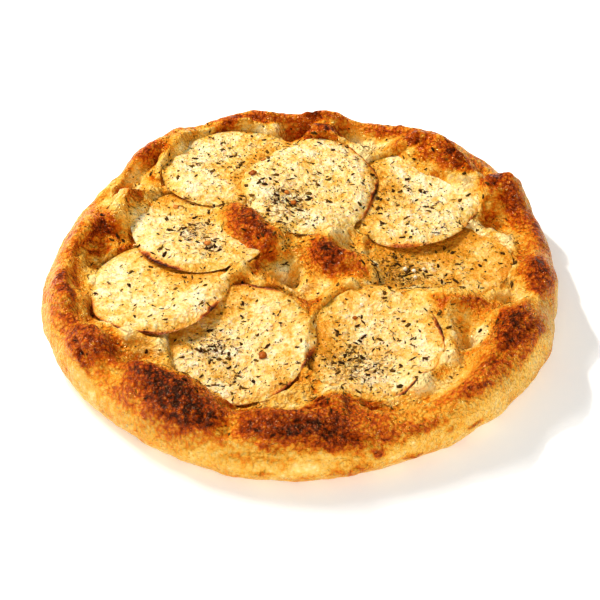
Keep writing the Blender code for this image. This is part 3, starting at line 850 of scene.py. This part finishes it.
def bread_relief(points, toast, tree):
    """How far the skin stands out from the plain form, in millimetres."""
    rough = smooth_step((toast - ROUGH_FROM) / ROUGH_BLEND)
    high = smooth_step((points[:, 2] - HIGH_FROM) / HIGH_BLEND)
    relief = wavers(points, *SKIN_WAVERS) - HIGH_SKIN_SHIFT * high - SKIN_SHIFT
    blisters = sum(np.abs(wavers(points, layer)) for layer in BLISTER_WAVERS) - BLISTER_SHIFT
    relief = relief + (BLISTER_HEIGHT + BROWNED_BLISTER_HEIGHT * rough) * blisters
    for middle, height, axes in seen_frames(tree, FORMS):
        relief = relief + height * frame_share(points, middle, axes)
    return relief


def bed_share(points):
    """1 on the moist dough among the slices, 0 on the rim and on the knobs."""
    x, y, _ = points.T
    knobs = smooth_step(lumps(x, y, BED_KNOBS) / DRY_KNOB_HEIGHT)
    inside = np.hypot(x, y) < BREAD_RADIUS * RIM_CREST_SHARE
    return (1.0 - rim_rise(x, y)) * (1.0 - knobs) * inside


def shaped_bread():
    mesh = bread_mesh()
    points, normals = drawn_points(mesh)
    tree = tree_of([mesh])
    toast = bread_toast(points, tree)
    moist = bed_share(points)
    folds = wavers(points, FOLD_WAVER) + np.abs(wavers(points, SHARP_FOLD_WAVER)) - FOLD_SHIFT
    # Paler on the folds' tops and more golden in their hollows: painted light and painted shade
    toast = toast - moist * (MOIST_PALENESS + FOLD_LIGHT_AND_SHADE * folds)
    relief = bread_relief(points, toast, tree) + FOLD_HEIGHT * moist * folds
    lifted = smooth_step(points[:, 2] / PLAIN_BASE_HEIGHT)
    points = points + normals * (relief * lifted)[:, None]
    points[:, 2] -= TOP_SQUEEZE * np.clip(points[:, 2] - TOP_LIMIT, 0.0, None)
    move_points(mesh, points)
    give_values(mesh, "toast", toast)
    give_values(mesh, "moist", moist)
    return mesh


def below_and_above(name):
    """The slices below one slice of the stack, and those above it."""
    names = list(SLICES)
    place = names.index(name)
    return names[:place], names[place + 1:]


def slice_sag(name, x, y, share):
    """How far the edge of a slice hangs down towards what lies under it."""
    if share < SAG_START:
        return 0.0
    spec = SLICES[name]
    support = dough_height(x, y)
    for other in below_and_above(name)[0]:
        _, cover = slice_polar(SLICES[other], x, y)
        raised = np.maximum(support, slice_top(SLICES[other], x, y))
        support = np.where(cover < 1.0, raised, support)
    direction, _ = slice_polar(spec, x, y)
    kept = 0.0
    for towards, spread, lift in spec[9]:
        standing = np.clip((lift - CURL_THAT_SAGS) / CURL_THAT_STANDS, 0.0, 1.0)
        kept = kept + standing * facing(direction, towards, spread)
    room = slice_top(spec, x, y) - SLICE_THICKNESS - support
    sag = np.clip(room, 0.0, MOST_SAG) * smooth_step((share - SAG_START) / (1.0 - SAG_START))
    return sag * np.clip(1.0 - kept, 0.0, 1.0)


def slice_mesh(name, spec):
    """A thin potato slice with a rounded edge."""
    centre_x, centre_y, _, _, short_radius = spec[:5]
    turn = spokes(SLICE_SPOKES)
    _, unit_share = slice_polar(spec, centre_x + np.cos(turn), centre_y + np.sin(turn))
    depth = SLICE_THICKNESS / 2.0
    shares = np.linspace(FIRST_RING_SHARE, 1.0, SLICE_RINGS) ** RING_CROWDING
    rings = []
    for share, side in [(s, -1.0) for s in shares] + [(s, 1.0) for s in shares[::-1]]:
        x = centre_x + share / unit_share * np.cos(turn)
        y = centre_y + share / unit_share * np.sin(turn)
        inward = np.clip((1.0 - share) * short_radius / depth, 0.0, 1.0)
        thinned = EDGE_THINNING * smooth_step((share - THINNING_START) / (1.0 - THINNING_START))
        half = depth * math.sqrt(1.0 - (1.0 - inward) ** 2)
        middle = slice_top(spec, x, y) - slice_sag(name, x, y, share) - depth * (1.0 + thinned)
        rings.append(np.stack([x, y, middle + side * half * (1.0 - thinned)], axis=1))
    top = slice_top(spec, np.array([centre_x]), np.array([centre_y]))[0]
    low = (centre_x, centre_y, top - SLICE_THICKNESS)
    return ring_mesh(name, rings, low, (centre_x, centre_y, top))


def slice_values(name, spec, points):
    """Browning of the slice's edge and how yellow it is, at each point, with painted shade near slices
    above.
    """
    x, y, _ = points.T
    direction, share = slice_polar(spec, x, y)
    inward = (1.0 - share) * spec[4]
    toast = EVEN_TOAST * bell(inward, EVEN_TOAST_WIDTH)
    ragged = wavers(points, *RAGGED_WAVERS)
    width = BURNT_WIDTH + RAGGED_WIDTH * np.clip(ragged, *RAGGED_RANGE)
    burnt = bell(inward, width) * (1.0 + RAGGED_STRENGTH * ragged)
    for towards, spread, strength in EDGE_TOAST[name]:
        toast = toast + strength * facing(direction, towards, spread) * burnt
    yellow = SLICE_YELLOW.get(name, PLAIN_YELLOW) + wavers(points, *YELLOW_WAVERS)
    yellow = yellow + EDGE_YELLOW * bell(inward, EDGE_YELLOW_WIDTH)
    # Painted shade: more golden next to the edge of each slice that lies above
    for other in below_and_above(name)[1]:
        _, cover = slice_polar(SLICES[other], x, y)
        yellow = yellow + COVERED_SHADE_YELLOW * bell(np.clip(cover - 1.0, 0.0, None), COVERED_SHADE_SPREAD)
    return toast, yellow


def shaped_slice(name, spec):
    mesh = slice_mesh(name, spec)
    points, normals = drawn_points(mesh)
    toast, yellow = slice_values(name, spec, points)
    upward = normals[:, 2] + UNDERSIDE_TOAST_LIMIT
    toast = toast * smooth_step(upward / UNDERSIDE_TOAST_BLEND)
    relief = wavers(points, *FACE_WAVERS)
    move_points(mesh, points + normals * relief[:, None])
    give_values(mesh, "toast", toast)
    give_values(mesh, "yellow", yellow)
    dust = [PLAIN_DUST + CLUSTER_DUST * max(herb_density(x, y) - 1.0, 0.0) for x, y, _ in points]
    give_values(mesh, "dust", np.minimum(dust, 1.0))
    return mesh


def linear(red, green, blue):
    """A display colour from 0 to 255 as the linear colour that a shader takes."""
    shares = [value / 255.0 for value in (red, green, blue)]
    return tuple(s / 12.92 if s <= 0.04045 else ((s + 0.055) / 1.055) ** 2.4 for s in shares) + (1.0,)


def feed(node, inputs):
    """Gives each input of a node its value, or the output that feeds it."""
    for name, source in inputs.items():
        if isinstance(source, bpy.types.NodeSocket):
            node.id_data.links.new(source, node.inputs[name])
        else:
            node.inputs[name].default_value = source


def add_node(tree, kind, inputs, **settings):
    node = tree.nodes.new(kind)
    for key, value in settings.items():
        setattr(node, key, value)
    feed(node, inputs)
    return node


def new_material(name):
    material = bpy.data.materials.new(name)
    material.use_nodes = True
    tree = material.node_tree
    return material, tree, tree.nodes["Principled BSDF"]


def value_of(tree, name):
    return add_node(tree, "ShaderNodeAttribute", {}, attribute_name=name).outputs["Fac"]


def place_of(tree):
    return add_node(tree, "ShaderNodeTexCoord", {}).outputs["Object"]


def calculate(operation, first, second, third=0.0):
    """One sum, in the tree of its first value, which is an output."""
    inputs = {0: first, 1: second, 2: third}
    return add_node(first.id_data, "ShaderNodeMath", inputs, operation=operation).outputs[0]


def scaled(value, factor, offset):
    return calculate("MULTIPLY_ADD", value, factor, offset)


def swung(value, reach):
    """A value from 0 to 1 as one that swings about 0, over the whole reach given."""
    return scaled(value, reach, -reach / 2.0)


def added(total, *others):
    for other in others:
        total = calculate("ADD", total, other)
    return total


def at_least(low, value):
    return calculate("MAXIMUM", value, low)


def at_most(high, value):
    return calculate("MINIMUM", value, high)


def mixed(share, first, second):
    """The first colour where the share is 0, the second where it is 1."""
    inputs = {"Factor": share, "A": first, "B": second}
    return add_node(share.id_data, "ShaderNodeMix", inputs, data_type="RGBA").outputs["Result"]


def bumped(height, distance):
    """The normal of a skin with this relief, whose height at 1 is given in millimetres."""
    inputs = {"Height": height, "Distance": distance * MM, "Strength": 1.0}
    return add_node(height.id_data, "ShaderNodeBump", inputs).outputs[0]


def texture_noise(place, size, detail):
    """Noise from 0 to 1 with features about size mm wide."""
    inputs = {"Vector": place, "Scale": 1.0 / (size * MM), "Detail": detail}
    return add_node(place.id_data, "ShaderNodeTexNoise", inputs).outputs["Fac"]


def texture_cells(place, size, smoothness):
    """Distance from the middles of soft cells about size mm wide."""
    inputs = {"Vector": place, "Scale": 1.0 / (size * MM), "Smoothness": smoothness}
    node = add_node(place.id_data, "ShaderNodeTexVoronoi", inputs, feature="SMOOTH_F1")
    return node.outputs["Distance"]


def ramp(amount, stops):
    """A colour ramp through (position, display colour) stops."""
    node = add_node(amount.id_data, "ShaderNodeValToRGB", {"Fac": amount})
    elements = node.color_ramp.elements
    while len(elements) < len(stops):
        elements.new(1.0)
    for element, (position, colour) in zip(elements, stops):
        element.position = position
        element.color = linear(*colour)
    return node.outputs["Color"]


CRUST_COLOURS = (
    (0.00, (253, 228, 166)),
    (0.12, (250, 205, 112)),
    (0.24, (248, 188, 74)),
    (0.36, (244, 160, 38)),
    (0.48, (230, 124, 14)),
    (0.60, (208, 94, 8)),
    (0.74, (172, 68, 6)),
    (0.88, (128, 48, 4)),
    (1.00, (84, 32, 4)),
)
# Painted highlight: colour of the glint specks mixed into the browned crust's base colour
GLINT_COLOUR = (236, 144, 66)

# Textures of the crust: size in millimetres, and detail or smoothness
BLOTCHES = (7.0, 3.0)
CRUST_WRINKLES = (3.2, 4.0)
CRUST_GRAIN = (1.3, 2.0)
CRUST_CELLS = (1.9, 0.2)
GLINTS = (0.9, 1.0)

# How far the textures swing the browning; wrinkles add painted shade in creases and light on tops
BLOTCH_SWING = 0.34
CRUST_WRINKLE_SHADE_SWING = -0.9
CRUST_GRAIN_SWING = 0.55

# Factor and offset that turn a texture or a browning into what it drives
# The creases round the cells get browner: painted shade
CELL_SHADE_TO_BROWNING = (0.60, -0.26)
TOAST_TO_SWING = (1.1, 0.16)
NOISE_TO_GLINT = (8.0, -4.9)
TOAST_TO_GLINT = (2.4, -0.6)
TOAST_TO_CELL_HEIGHT = (-1.4, 0.15)
TOAST_TO_GRAIN_HEIGHT = (1.5, 0.2)
TOAST_TO_WRINKLE_HEIGHT = (1.8, 0.1)
GRAIN_TO_ROUGHNESS = (0.7, -0.03)
TOAST_TO_SPECULAR = (-0.15, 0.45)
MOIST_GLOSS = -0.14
LEAST_ROUGHNESS = 0.16
MOST_GLINT = 0.5
MOST_GLINT_OF_TOAST = 0.8
CRUST_BUMP = 4.0
CRUST_SCATTER = (1.0, 0.40, 0.10)
CRUST_SCATTER_DEPTH = 2.0
CRUST_SPECULAR_TINT = (1.0, 0.82, 0.54, 1.0)


def crust_material():
    material, tree, shader = new_material("browned_crust")
    toast = value_of(tree, "toast")
    moist = value_of(tree, "moist")
    place = place_of(tree)
    wrinkled = texture_noise(place, *CRUST_WRINKLES)
    grainy = texture_noise(place, *CRUST_GRAIN)
    cells = texture_cells(place, *CRUST_CELLS)
    # Wrinkle creases and the creases round the cells browner, wrinkle tops paler: painted shade and
    # painted light
    varied = added(
        swung(grainy, CRUST_GRAIN_SWING),
        scaled(cells, *CELL_SHADE_TO_BROWNING),
        swung(wrinkled, CRUST_WRINKLE_SHADE_SWING),
    )
    total = scaled(varied, scaled(toast, *TOAST_TO_SWING), toast)
    total = added(total, swung(texture_noise(place, *BLOTCHES), BLOTCH_SWING))
    # Painted highlights: bright glint specks on the browned crust, mixed into the base colour
    glinting = at_least(0.0, scaled(texture_noise(place, *GLINTS), *NOISE_TO_GLINT))
    browned = at_least(0.0, at_most(MOST_GLINT_OF_TOAST, scaled(toast, *TOAST_TO_GLINT)))
    glinting = at_most(MOST_GLINT, calculate("MULTIPLY", glinting, browned))
    height = calculate("MULTIPLY", cells, scaled(toast, *TOAST_TO_CELL_HEIGHT))
    height = scaled(grainy, scaled(toast, *TOAST_TO_GRAIN_HEIGHT), height)
    folded = at_least(moist, scaled(toast, *TOAST_TO_WRINKLE_HEIGHT))
    height = scaled(wrinkled, folded, height)
    dull = scaled(moist, MOIST_GLOSS, scaled(grainy, *GRAIN_TO_ROUGHNESS))
    feed(shader, {
        "Base Color": mixed(glinting, ramp(total, CRUST_COLOURS), linear(*GLINT_COLOUR)),
        "Roughness": at_least(LEAST_ROUGHNESS, dull),
        "Normal": bumped(height, CRUST_BUMP),
        "Subsurface Weight": 0.10,
        "Subsurface Radius": CRUST_SCATTER,
        "Subsurface Scale": CRUST_SCATTER_DEPTH * MM,
        "Specular IOR Level": scaled(toast, *TOAST_TO_SPECULAR),
        "Specular Tint": CRUST_SPECULAR_TINT,
    })
    return material


# Flesh colours; the golden end also shows the painted shade next to slices above
FLESH_COLOURS = (
    (0.00, (255, 238, 202)),
    (0.28, (254, 222, 162)),
    (0.55, (246, 200, 114)),
    (0.80, (236, 178, 72)),
    (1.00, (224, 156, 40)),
)
DUST_COLOUR = (146, 100, 34)
EDGE_COLOURS = (
    (0.00, (244, 196, 100)),
    (0.30, (222, 136, 40)),
    (0.60, (160, 72, 16)),
    (1.00, (66, 26, 8)),
)

# Textures of the potato: size in millimetres and detail
PATCHES = (6.0, 3.0)
FLESH_WRINKLES = (2.6, 3.0)
FLESH_GRAIN = (1.1, 2.0)
DUST_SPOTS = (1.4, 3.0)

# How the textures drive the potato's colours, with factor and offset in a pair
PATCHES_TO_YELLOW = (1.3, -0.42)
# Wrinkle and grain hollows more golden, their tops paler: painted shade and painted light
WRINKLE_SHADE_TO_YELLOW = (-1.2, 0.64)
FLESH_GRAIN_SHADE_SWING = -0.8
SPOTS_TO_DUST = (4.0, -1.7)
MOST_DUST = 0.75
BURNT_GRAIN_SWING = 0.6
TOAST_TO_BURNT_COVER = (3.0, -0.25)
GRAIN_HEIGHT = 0.25
WRINKLES_TO_ROUGHNESS = (0.5, 0.08)
FLESH_BUMP = 2.2
FLESH_SCATTER = (1.0, 0.5, 0.14)
FLESH_SCATTER_DEPTH = 3.2
FLESH_SPECULAR_TINT = (1.0, 0.90, 0.66, 1.0)


def potato_material():
    material, tree, shader = new_material("baked_potato")
    toast = value_of(tree, "toast")
    place = place_of(tree)
    wrinkled = texture_noise(place, *FLESH_WRINKLES)
    grainy = texture_noise(place, *FLESH_GRAIN)
    # Hollows of the wrinkles and grain more golden and their tops paler: painted shade and painted
    # light
    total = added(
        value_of(tree, "yellow"),
        scaled(texture_noise(place, *PATCHES), *PATCHES_TO_YELLOW),
        scaled(wrinkled, *WRINKLE_SHADE_TO_YELLOW),
        swung(grainy, FLESH_GRAIN_SHADE_SWING),
    )
    spotted = at_least(0.0, scaled(texture_noise(place, *DUST_SPOTS), *SPOTS_TO_DUST))
    dusted = at_most(MOST_DUST, calculate("MULTIPLY", value_of(tree, "dust"), spotted))
    flesh = mixed(dusted, ramp(total, FLESH_COLOURS), linear(*DUST_COLOUR))
    edge = ramp(added(toast, swung(grainy, BURNT_GRAIN_SWING)), EDGE_COLOURS)
    cover = at_least(0.0, at_most(1.0, scaled(toast, *TOAST_TO_BURNT_COVER)))
    feed(shader, {
        "Base Color": mixed(cover, flesh, edge),
        "Roughness": scaled(wrinkled, *WRINKLES_TO_ROUGHNESS),
        "Normal": bumped(scaled(grainy, GRAIN_HEIGHT, wrinkled), FLESH_BUMP),
        "Subsurface Weight": 0.40,
        "Subsurface Radius": FLESH_SCATTER,
        "Subsurface Scale": FLESH_SCATTER_DEPTH * MM,
        "Specular IOR Level": 0.4,
        "Specular Tint": FLESH_SPECULAR_TINT,
    })
    return material


PIECE_SHADES = (0.2, 0.8)
SHADE_SWING = 0.9
PLAIN_DETAIL = 2.0


def plain_material(name, stops, size, roughness):
    """A material whose colour varies along a ramp with its pieces' own shade and with noise."""
    material, tree, shader = new_material(name)
    mottled = swung(texture_noise(place_of(tree), size, PLAIN_DETAIL), SHADE_SWING)
    feed(shader, {
        "Base Color": ramp(added(value_of(tree, "shade"), mottled), stops),
        "Roughness": roughness,
        "Specular IOR Level": 0.1,
    })
    return material


def link(name, data):
    """A new object of the scene."""
    thing = bpy.data.objects.new(name, data)
    bpy.context.scene.collection.objects.link(thing)
    return thing


def add_piece(name, mesh, material):
    mesh.materials.append(material)
    piece = link(name, mesh)
    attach(piece, "root")
    return piece


def ground_of(pieces):
    """A function that gives the place and normal of the upper surface at x, y."""
    tree = tree_of([piece.data for piece in pieces])

    def ground(x, y):
        start = Vector((x - MIDDLE[0], y - MIDDLE[1], FAR_ABOVE)) * MM
        hit, normal, _, _ = tree.ray_cast(start, Vector((0.0, 0.0, -1.0)))
        if hit is None:
            return None, None
        return np.array(hit) / MM + MIDDLE, np.array(normal)

    return ground


def tangent_frame(normal, heading):
    """Two directions along a surface, the first near the heading, and the normal."""
    along = np.array([math.cos(heading), math.sin(heading), 0.0])
    along = along - normal * along.dot(normal)
    along = along / np.linalg.norm(along)
    return along, np.cross(normal, along), normal


def speck_shape(random):
    """An eight-sided grain one long, narrower and flat."""
    points = 0.5 * np.array([[1, 0, 0], [0, 1, 0], [-1, 0, 0], [0, -1, 0], [0, 0, 1], [0, 0, -1]])
    faces = [(k, (k + 1) % 4, 4) for k in range(4)] + [((k + 1) % 4, k, 5) for k in range(4)]
    points = points * random.uniform(*SPECK_UNEVENNESS, (6, 1))
    return points * (SPECK_LENGTH, random.uniform(*SPECK_WIDTHS), SPECK_FLATNESS), np.array(faces)


def flake_shape(random):
    """A ragged thin leaf fragment one long and about half as wide, bent along its length."""
    count = FLAKE_CORNERS
    turn = (np.arange(count) + random.uniform(-0.3, 0.3, count)) * FULL_TURN / count
    reach = 0.5 * random.uniform(0.4, 1.0, count)
    x = reach * np.cos(turn)
    y = reach * np.sin(turn) * random.uniform(*FLAKE_WIDTHS)
    bend = random.uniform(-0.5, 0.7) * x**2 + random.uniform(-0.6, 0.6) * x * y
    bend = bend + random.uniform(0.0, 0.6) * y**2
    top = np.stack([x, y, bend + FLAKE_LIFT], axis=1)
    low = top - (0.0, 0.0, FLAKE_THICKNESS)
    points = np.concatenate([top, low, [[0, 0, 0.06], [0, 0, -0.04]]])
    faces = []
    for k in range(count):
        after = (k + 1) % count
        faces += [(k, after, 2 * count), (after + count, k + count, 2 * count + 1)]
        faces += [(k, k + count, after + count), (k, after + count, after)]
    return points, np.array(faces)


def strand_shape(random):
    """A thin curved stalk one long, with three sides."""
    steps = STRAND_STEPS
    along = np.linspace(-0.5, 0.5, steps)
    sway = random.uniform(-0.5, 0.5) * (along**2 * 2.0)
    sway = sway + random.uniform(-0.15, 0.15) * np.sin(along * STRAND_CURLS)
    rise = STRAND_LIFT + STRAND_ARCH * random.uniform(0.0, 1.0) * np.cos(along * math.pi)
    width = STRAND_RADIUS * (1.0 - STRAND_TAPER * np.abs(along * 2.0) ** 3)
    points = []
    for turn in STRAND_EDGES:
        aside = sway + width * math.cos(turn)
        points.append(np.stack([along, aside, rise + width * math.sin(turn)], axis=1))
    faces = []
    for side in range(3):
        other = (side + 1) % 3
        for k in range(steps - 1):
            a, b = side * steps + k, other * steps + k
            faces += [(a, b, b + 1), (a, b + 1, a + 1)]
    faces += [(0, 2 * steps, steps), (steps - 1, 2 * steps - 1, 3 * steps - 1)]
    return np.concatenate(points), np.array(faces)


def scattered(name, shapes, material):
    """One joined mesh of many small shapes, each with its own shade."""
    points = []
    faces = []
    shades = []
    start = 0
    for shape_points, shape_faces, shade in shapes:
        points.append(shape_points)
        faces.append(shape_faces + start)
        shades.append(np.full(len(shape_points), shade))
        start += len(shape_points)
    mesh = mesh_from(name, np.concatenate(points), faces)
    give_values(mesh, "shade", np.concatenate(shades))
    return add_piece(name, mesh, material)


def placed(shape, size, place, normal, heading, sunk, random):
    """A shape of that size laid on the surface, with a random shade."""
    points, faces = shape
    moved = place + (points * size) @ np.array(tangent_frame(normal, heading)) - normal * sunk
    return moved, faces, random.uniform(*PIECE_SHADES)


def herb_density(x, y):
    density = PLAIN_DENSITY
    for centre_x, centre_y, spread, weight in HERB_CLUSTERS:
        density += weight * math.exp(-((x - centre_x) ** 2 + (y - centre_y) ** 2) / (2.0 * spread**2))
    return density * (1.0 - RIM_BARENESS * float(rim_rise(np.array(x), np.array(y))))


def herb_places(count, random, clustering):
    """Places over the bread's top, thickest where the herbs fell."""
    found = []
    while len(found) < count:
        radius = HERB_FIELD_RADIUS * math.sqrt(random.uniform())
        turn = random.uniform(0.0, FULL_TURN)
        x = radius * math.cos(turn)
        y = radius * math.sin(turn)
        if random.uniform() < (herb_density(x, y) / FULL_DENSITY) ** clustering:
            found.append((x, y))
    return found


HERB_COLOURS = (
    (0.00, (34, 18, 4)),
    (0.45, (70, 42, 8)),
    (0.75, (112, 78, 20)),
    (1.00, (150, 116, 40)),
)

# Kinds of herb: name, count, shape, sizes in millimetres, depth in the surface and clustering
HERB_KINDS = (
    ("herb_specks", 8000, speck_shape, (0.5, 1.35), 0.05, 0.8),
    ("herb_flakes", 1700, flake_shape, (1.2, 4.4), 0.02, 1.0),
    ("herb_strands", 500, strand_shape, (1.6, 4.0), 0.0, 1.1),
)


def add_herbs(ground):
    random = np.random.default_rng(HERB_SEED)
    material = plain_material("dried_herb", HERB_COLOURS, 0.8, 0.7)
    for name, count, shape, (low, high), sunk, clustering in HERB_KINDS:
        shapes = []
        for x, y in herb_places(count, random, clustering):
            place, normal = ground(x, y)
            if place is None:
                continue
            size = low + (high - low) * random.uniform() ** SMALL_ONES
            drawn = shape(random)
            heading = random.uniform(0.0, FULL_TURN)
            shapes.append(placed(drawn, size, place, normal, heading, sunk, random))
        scattered(name, shapes, material)


def grain_shape(random, corners, flatness):
    """A rough pebble one across; few corners give a crystal, many give a crumb."""
    turns = spokes(corners)
    points = [[0.0, 0.0, 0.5 * flatness]]
    for height, reach in GRAIN_RINGS:
        spread = reach * random.uniform(*GRAIN_UNEVENNESS, corners)
        lift = flatness * (height + random.uniform(-GRAIN_WAVER, GRAIN_WAVER, corners))
        points += np.stack([spread * np.cos(turns), spread * np.sin(turns), lift], axis=1).tolist()
    points.append([0.0, 0.0, -0.5 * flatness])
    faces = []
    last = 3 * corners + 1
    for k in range(corners):
        after = (k + 1) % corners
        faces += [(0, 1 + k, 1 + after), (last, last - corners + after, last - corners + k)]
        for row in (1, 1 + corners):
            a, b, c, d = row + k, row + after, row + corners + after, row + corners + k
            faces += [(a, d, b), (b, d, c)]
    return np.array(points), np.array(faces)


SALT_COLOURS = ((0.00, (246, 226, 186)), (1.00, (255, 250, 236)))
CRUMB_COLOURS = ((0.00, (110, 52, 12)), (0.50, (184, 104, 34)), (1.00, (232, 168, 84)))

# Kinds of grain: name, places, corners, flatness, colours, size of the mottling and roughness
GRAIN_KINDS = (
    ("coarse_salt", SALT_GRAINS, 6, 0.9, SALT_COLOURS, 1.0, 0.25),
    ("browned_crumbs", CRUMBS, 12, 0.32, CRUMB_COLOURS, 0.9, 0.4),
)


def add_grains(ground):
    """Coarse salt and browned crumbs where the photo shows them."""
    random = np.random.default_rng(GRAIN_SEED)
    for name, grains, corners, flatness, colours, mottling, roughness in GRAIN_KINDS:
        shapes = []
        for x, y, size in grains:
            place, normal = ground(x, y)
            heading = random.uniform(0.0, FULL_TURN)
            shape = grain_shape(random, corners, flatness)
            shapes.append(placed(shape, size, place, normal, heading, GRAIN_DEPTH * size, random))
        material = plain_material(name, colours, mottling, roughness)
        scattered(name, shapes, material)


# Lights: name, place in metres, size in metres, power in watts and colour
LIGHTS = (
    ("key", (-0.74, 0.52, 0.88), 0.34, 9.4, (1.0, 0.97, 0.90)),
    ("glint", (-0.60, 0.72, 0.90), 0.06, 11.0, (1.0, 0.95, 0.87)),
    ("fill", (0.25, -1.3, 0.65), 1.2, 12.5, (1.0, 0.98, 0.94)),
)
PHOTO_GAMMA = 0.83
SURROUNDINGS = {"Color": (1.0, 0.96, 0.89, 1.0), "Strength": 0.38}
FLOOR_REACH = 4.0
FLOOR_DEPTH = 0.0003
FLOOR_LOOKS = {
    "Base Color": (0.90, 0.93, 0.97, 1.0),
    "Roughness": 0.9,
    "Emission Color": (1.0, 1.0, 1.0, 1.0),
    "Emission Strength": 0.25,
}


def area_light(name, place, size, power, colour):
    light = bpy.data.lights.new(name, "AREA")
    light.shape = "SQUARE"
    light.size = size
    light.energy = power
    light.color = colour
    lamp = link(name, light)
    lamp.location = place
    lamp.rotation_euler = (-Vector(place)).to_track_quat("-Z", "Y").to_euler()


def studio():
    """Pale floor, white surroundings and light from behind on the left."""
    scene = bpy.context.scene
    scene.view_settings.view_transform = "Standard"
    scene.view_settings.gamma = PHOTO_GAMMA
    world = bpy.data.worlds.new("white_surroundings")
    world.use_nodes = True
    feed(world.node_tree.nodes["Background"], SURROUNDINGS)
    scene.world = world
    for light in LIGHTS:
        area_light(*light)
    mesh = bpy.data.meshes.new("floor")
    corners = [(x, y, -FLOOR_DEPTH) for x, y in ((-1, -1), (1, -1), (1, 1), (-1, 1))]
    mesh.from_pydata([(x * FLOOR_REACH, y * FLOOR_REACH, z) for x, y, z in corners], [], [(0, 1, 2, 3)])
    material, _, shader = new_material("pale_floor")
    feed(shader, FLOOR_LOOKS)
    mesh.materials.append(material)
    link("floor", mesh)


def camera():
    """The photo's view: from the front, 42 degrees above the floor, a metre away."""
    place, _, _, forward = camera_axes()
    lens = bpy.data.cameras.new("camera")
    lens.sensor_width = SENSOR
    lens.lens = FOCAL_PIXELS / (2.0 * PHOTO_MIDDLE) * SENSOR
    eye = link("camera", lens)
    eye.location = (place - MIDDLE) * MM
    eye.rotation_euler = Vector(forward).to_track_quat("-Z", "Y").to_euler()
    bpy.context.scene.camera = eye


def build():
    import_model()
    bread = add_piece("bread_crust", shaped_bread(), crust_material())
    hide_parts("bread")
    potato = potato_material()
    pieces = [bread]
    for name, spec in SLICES.items():
        piece = add_piece(name + "_flesh", shaped_slice(name, spec), potato)
        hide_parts(name)
        pieces.append(piece)
    ground = ground_of(pieces)
    add_grains(ground)
    add_herbs(ground)
    studio()
    camera()


build()
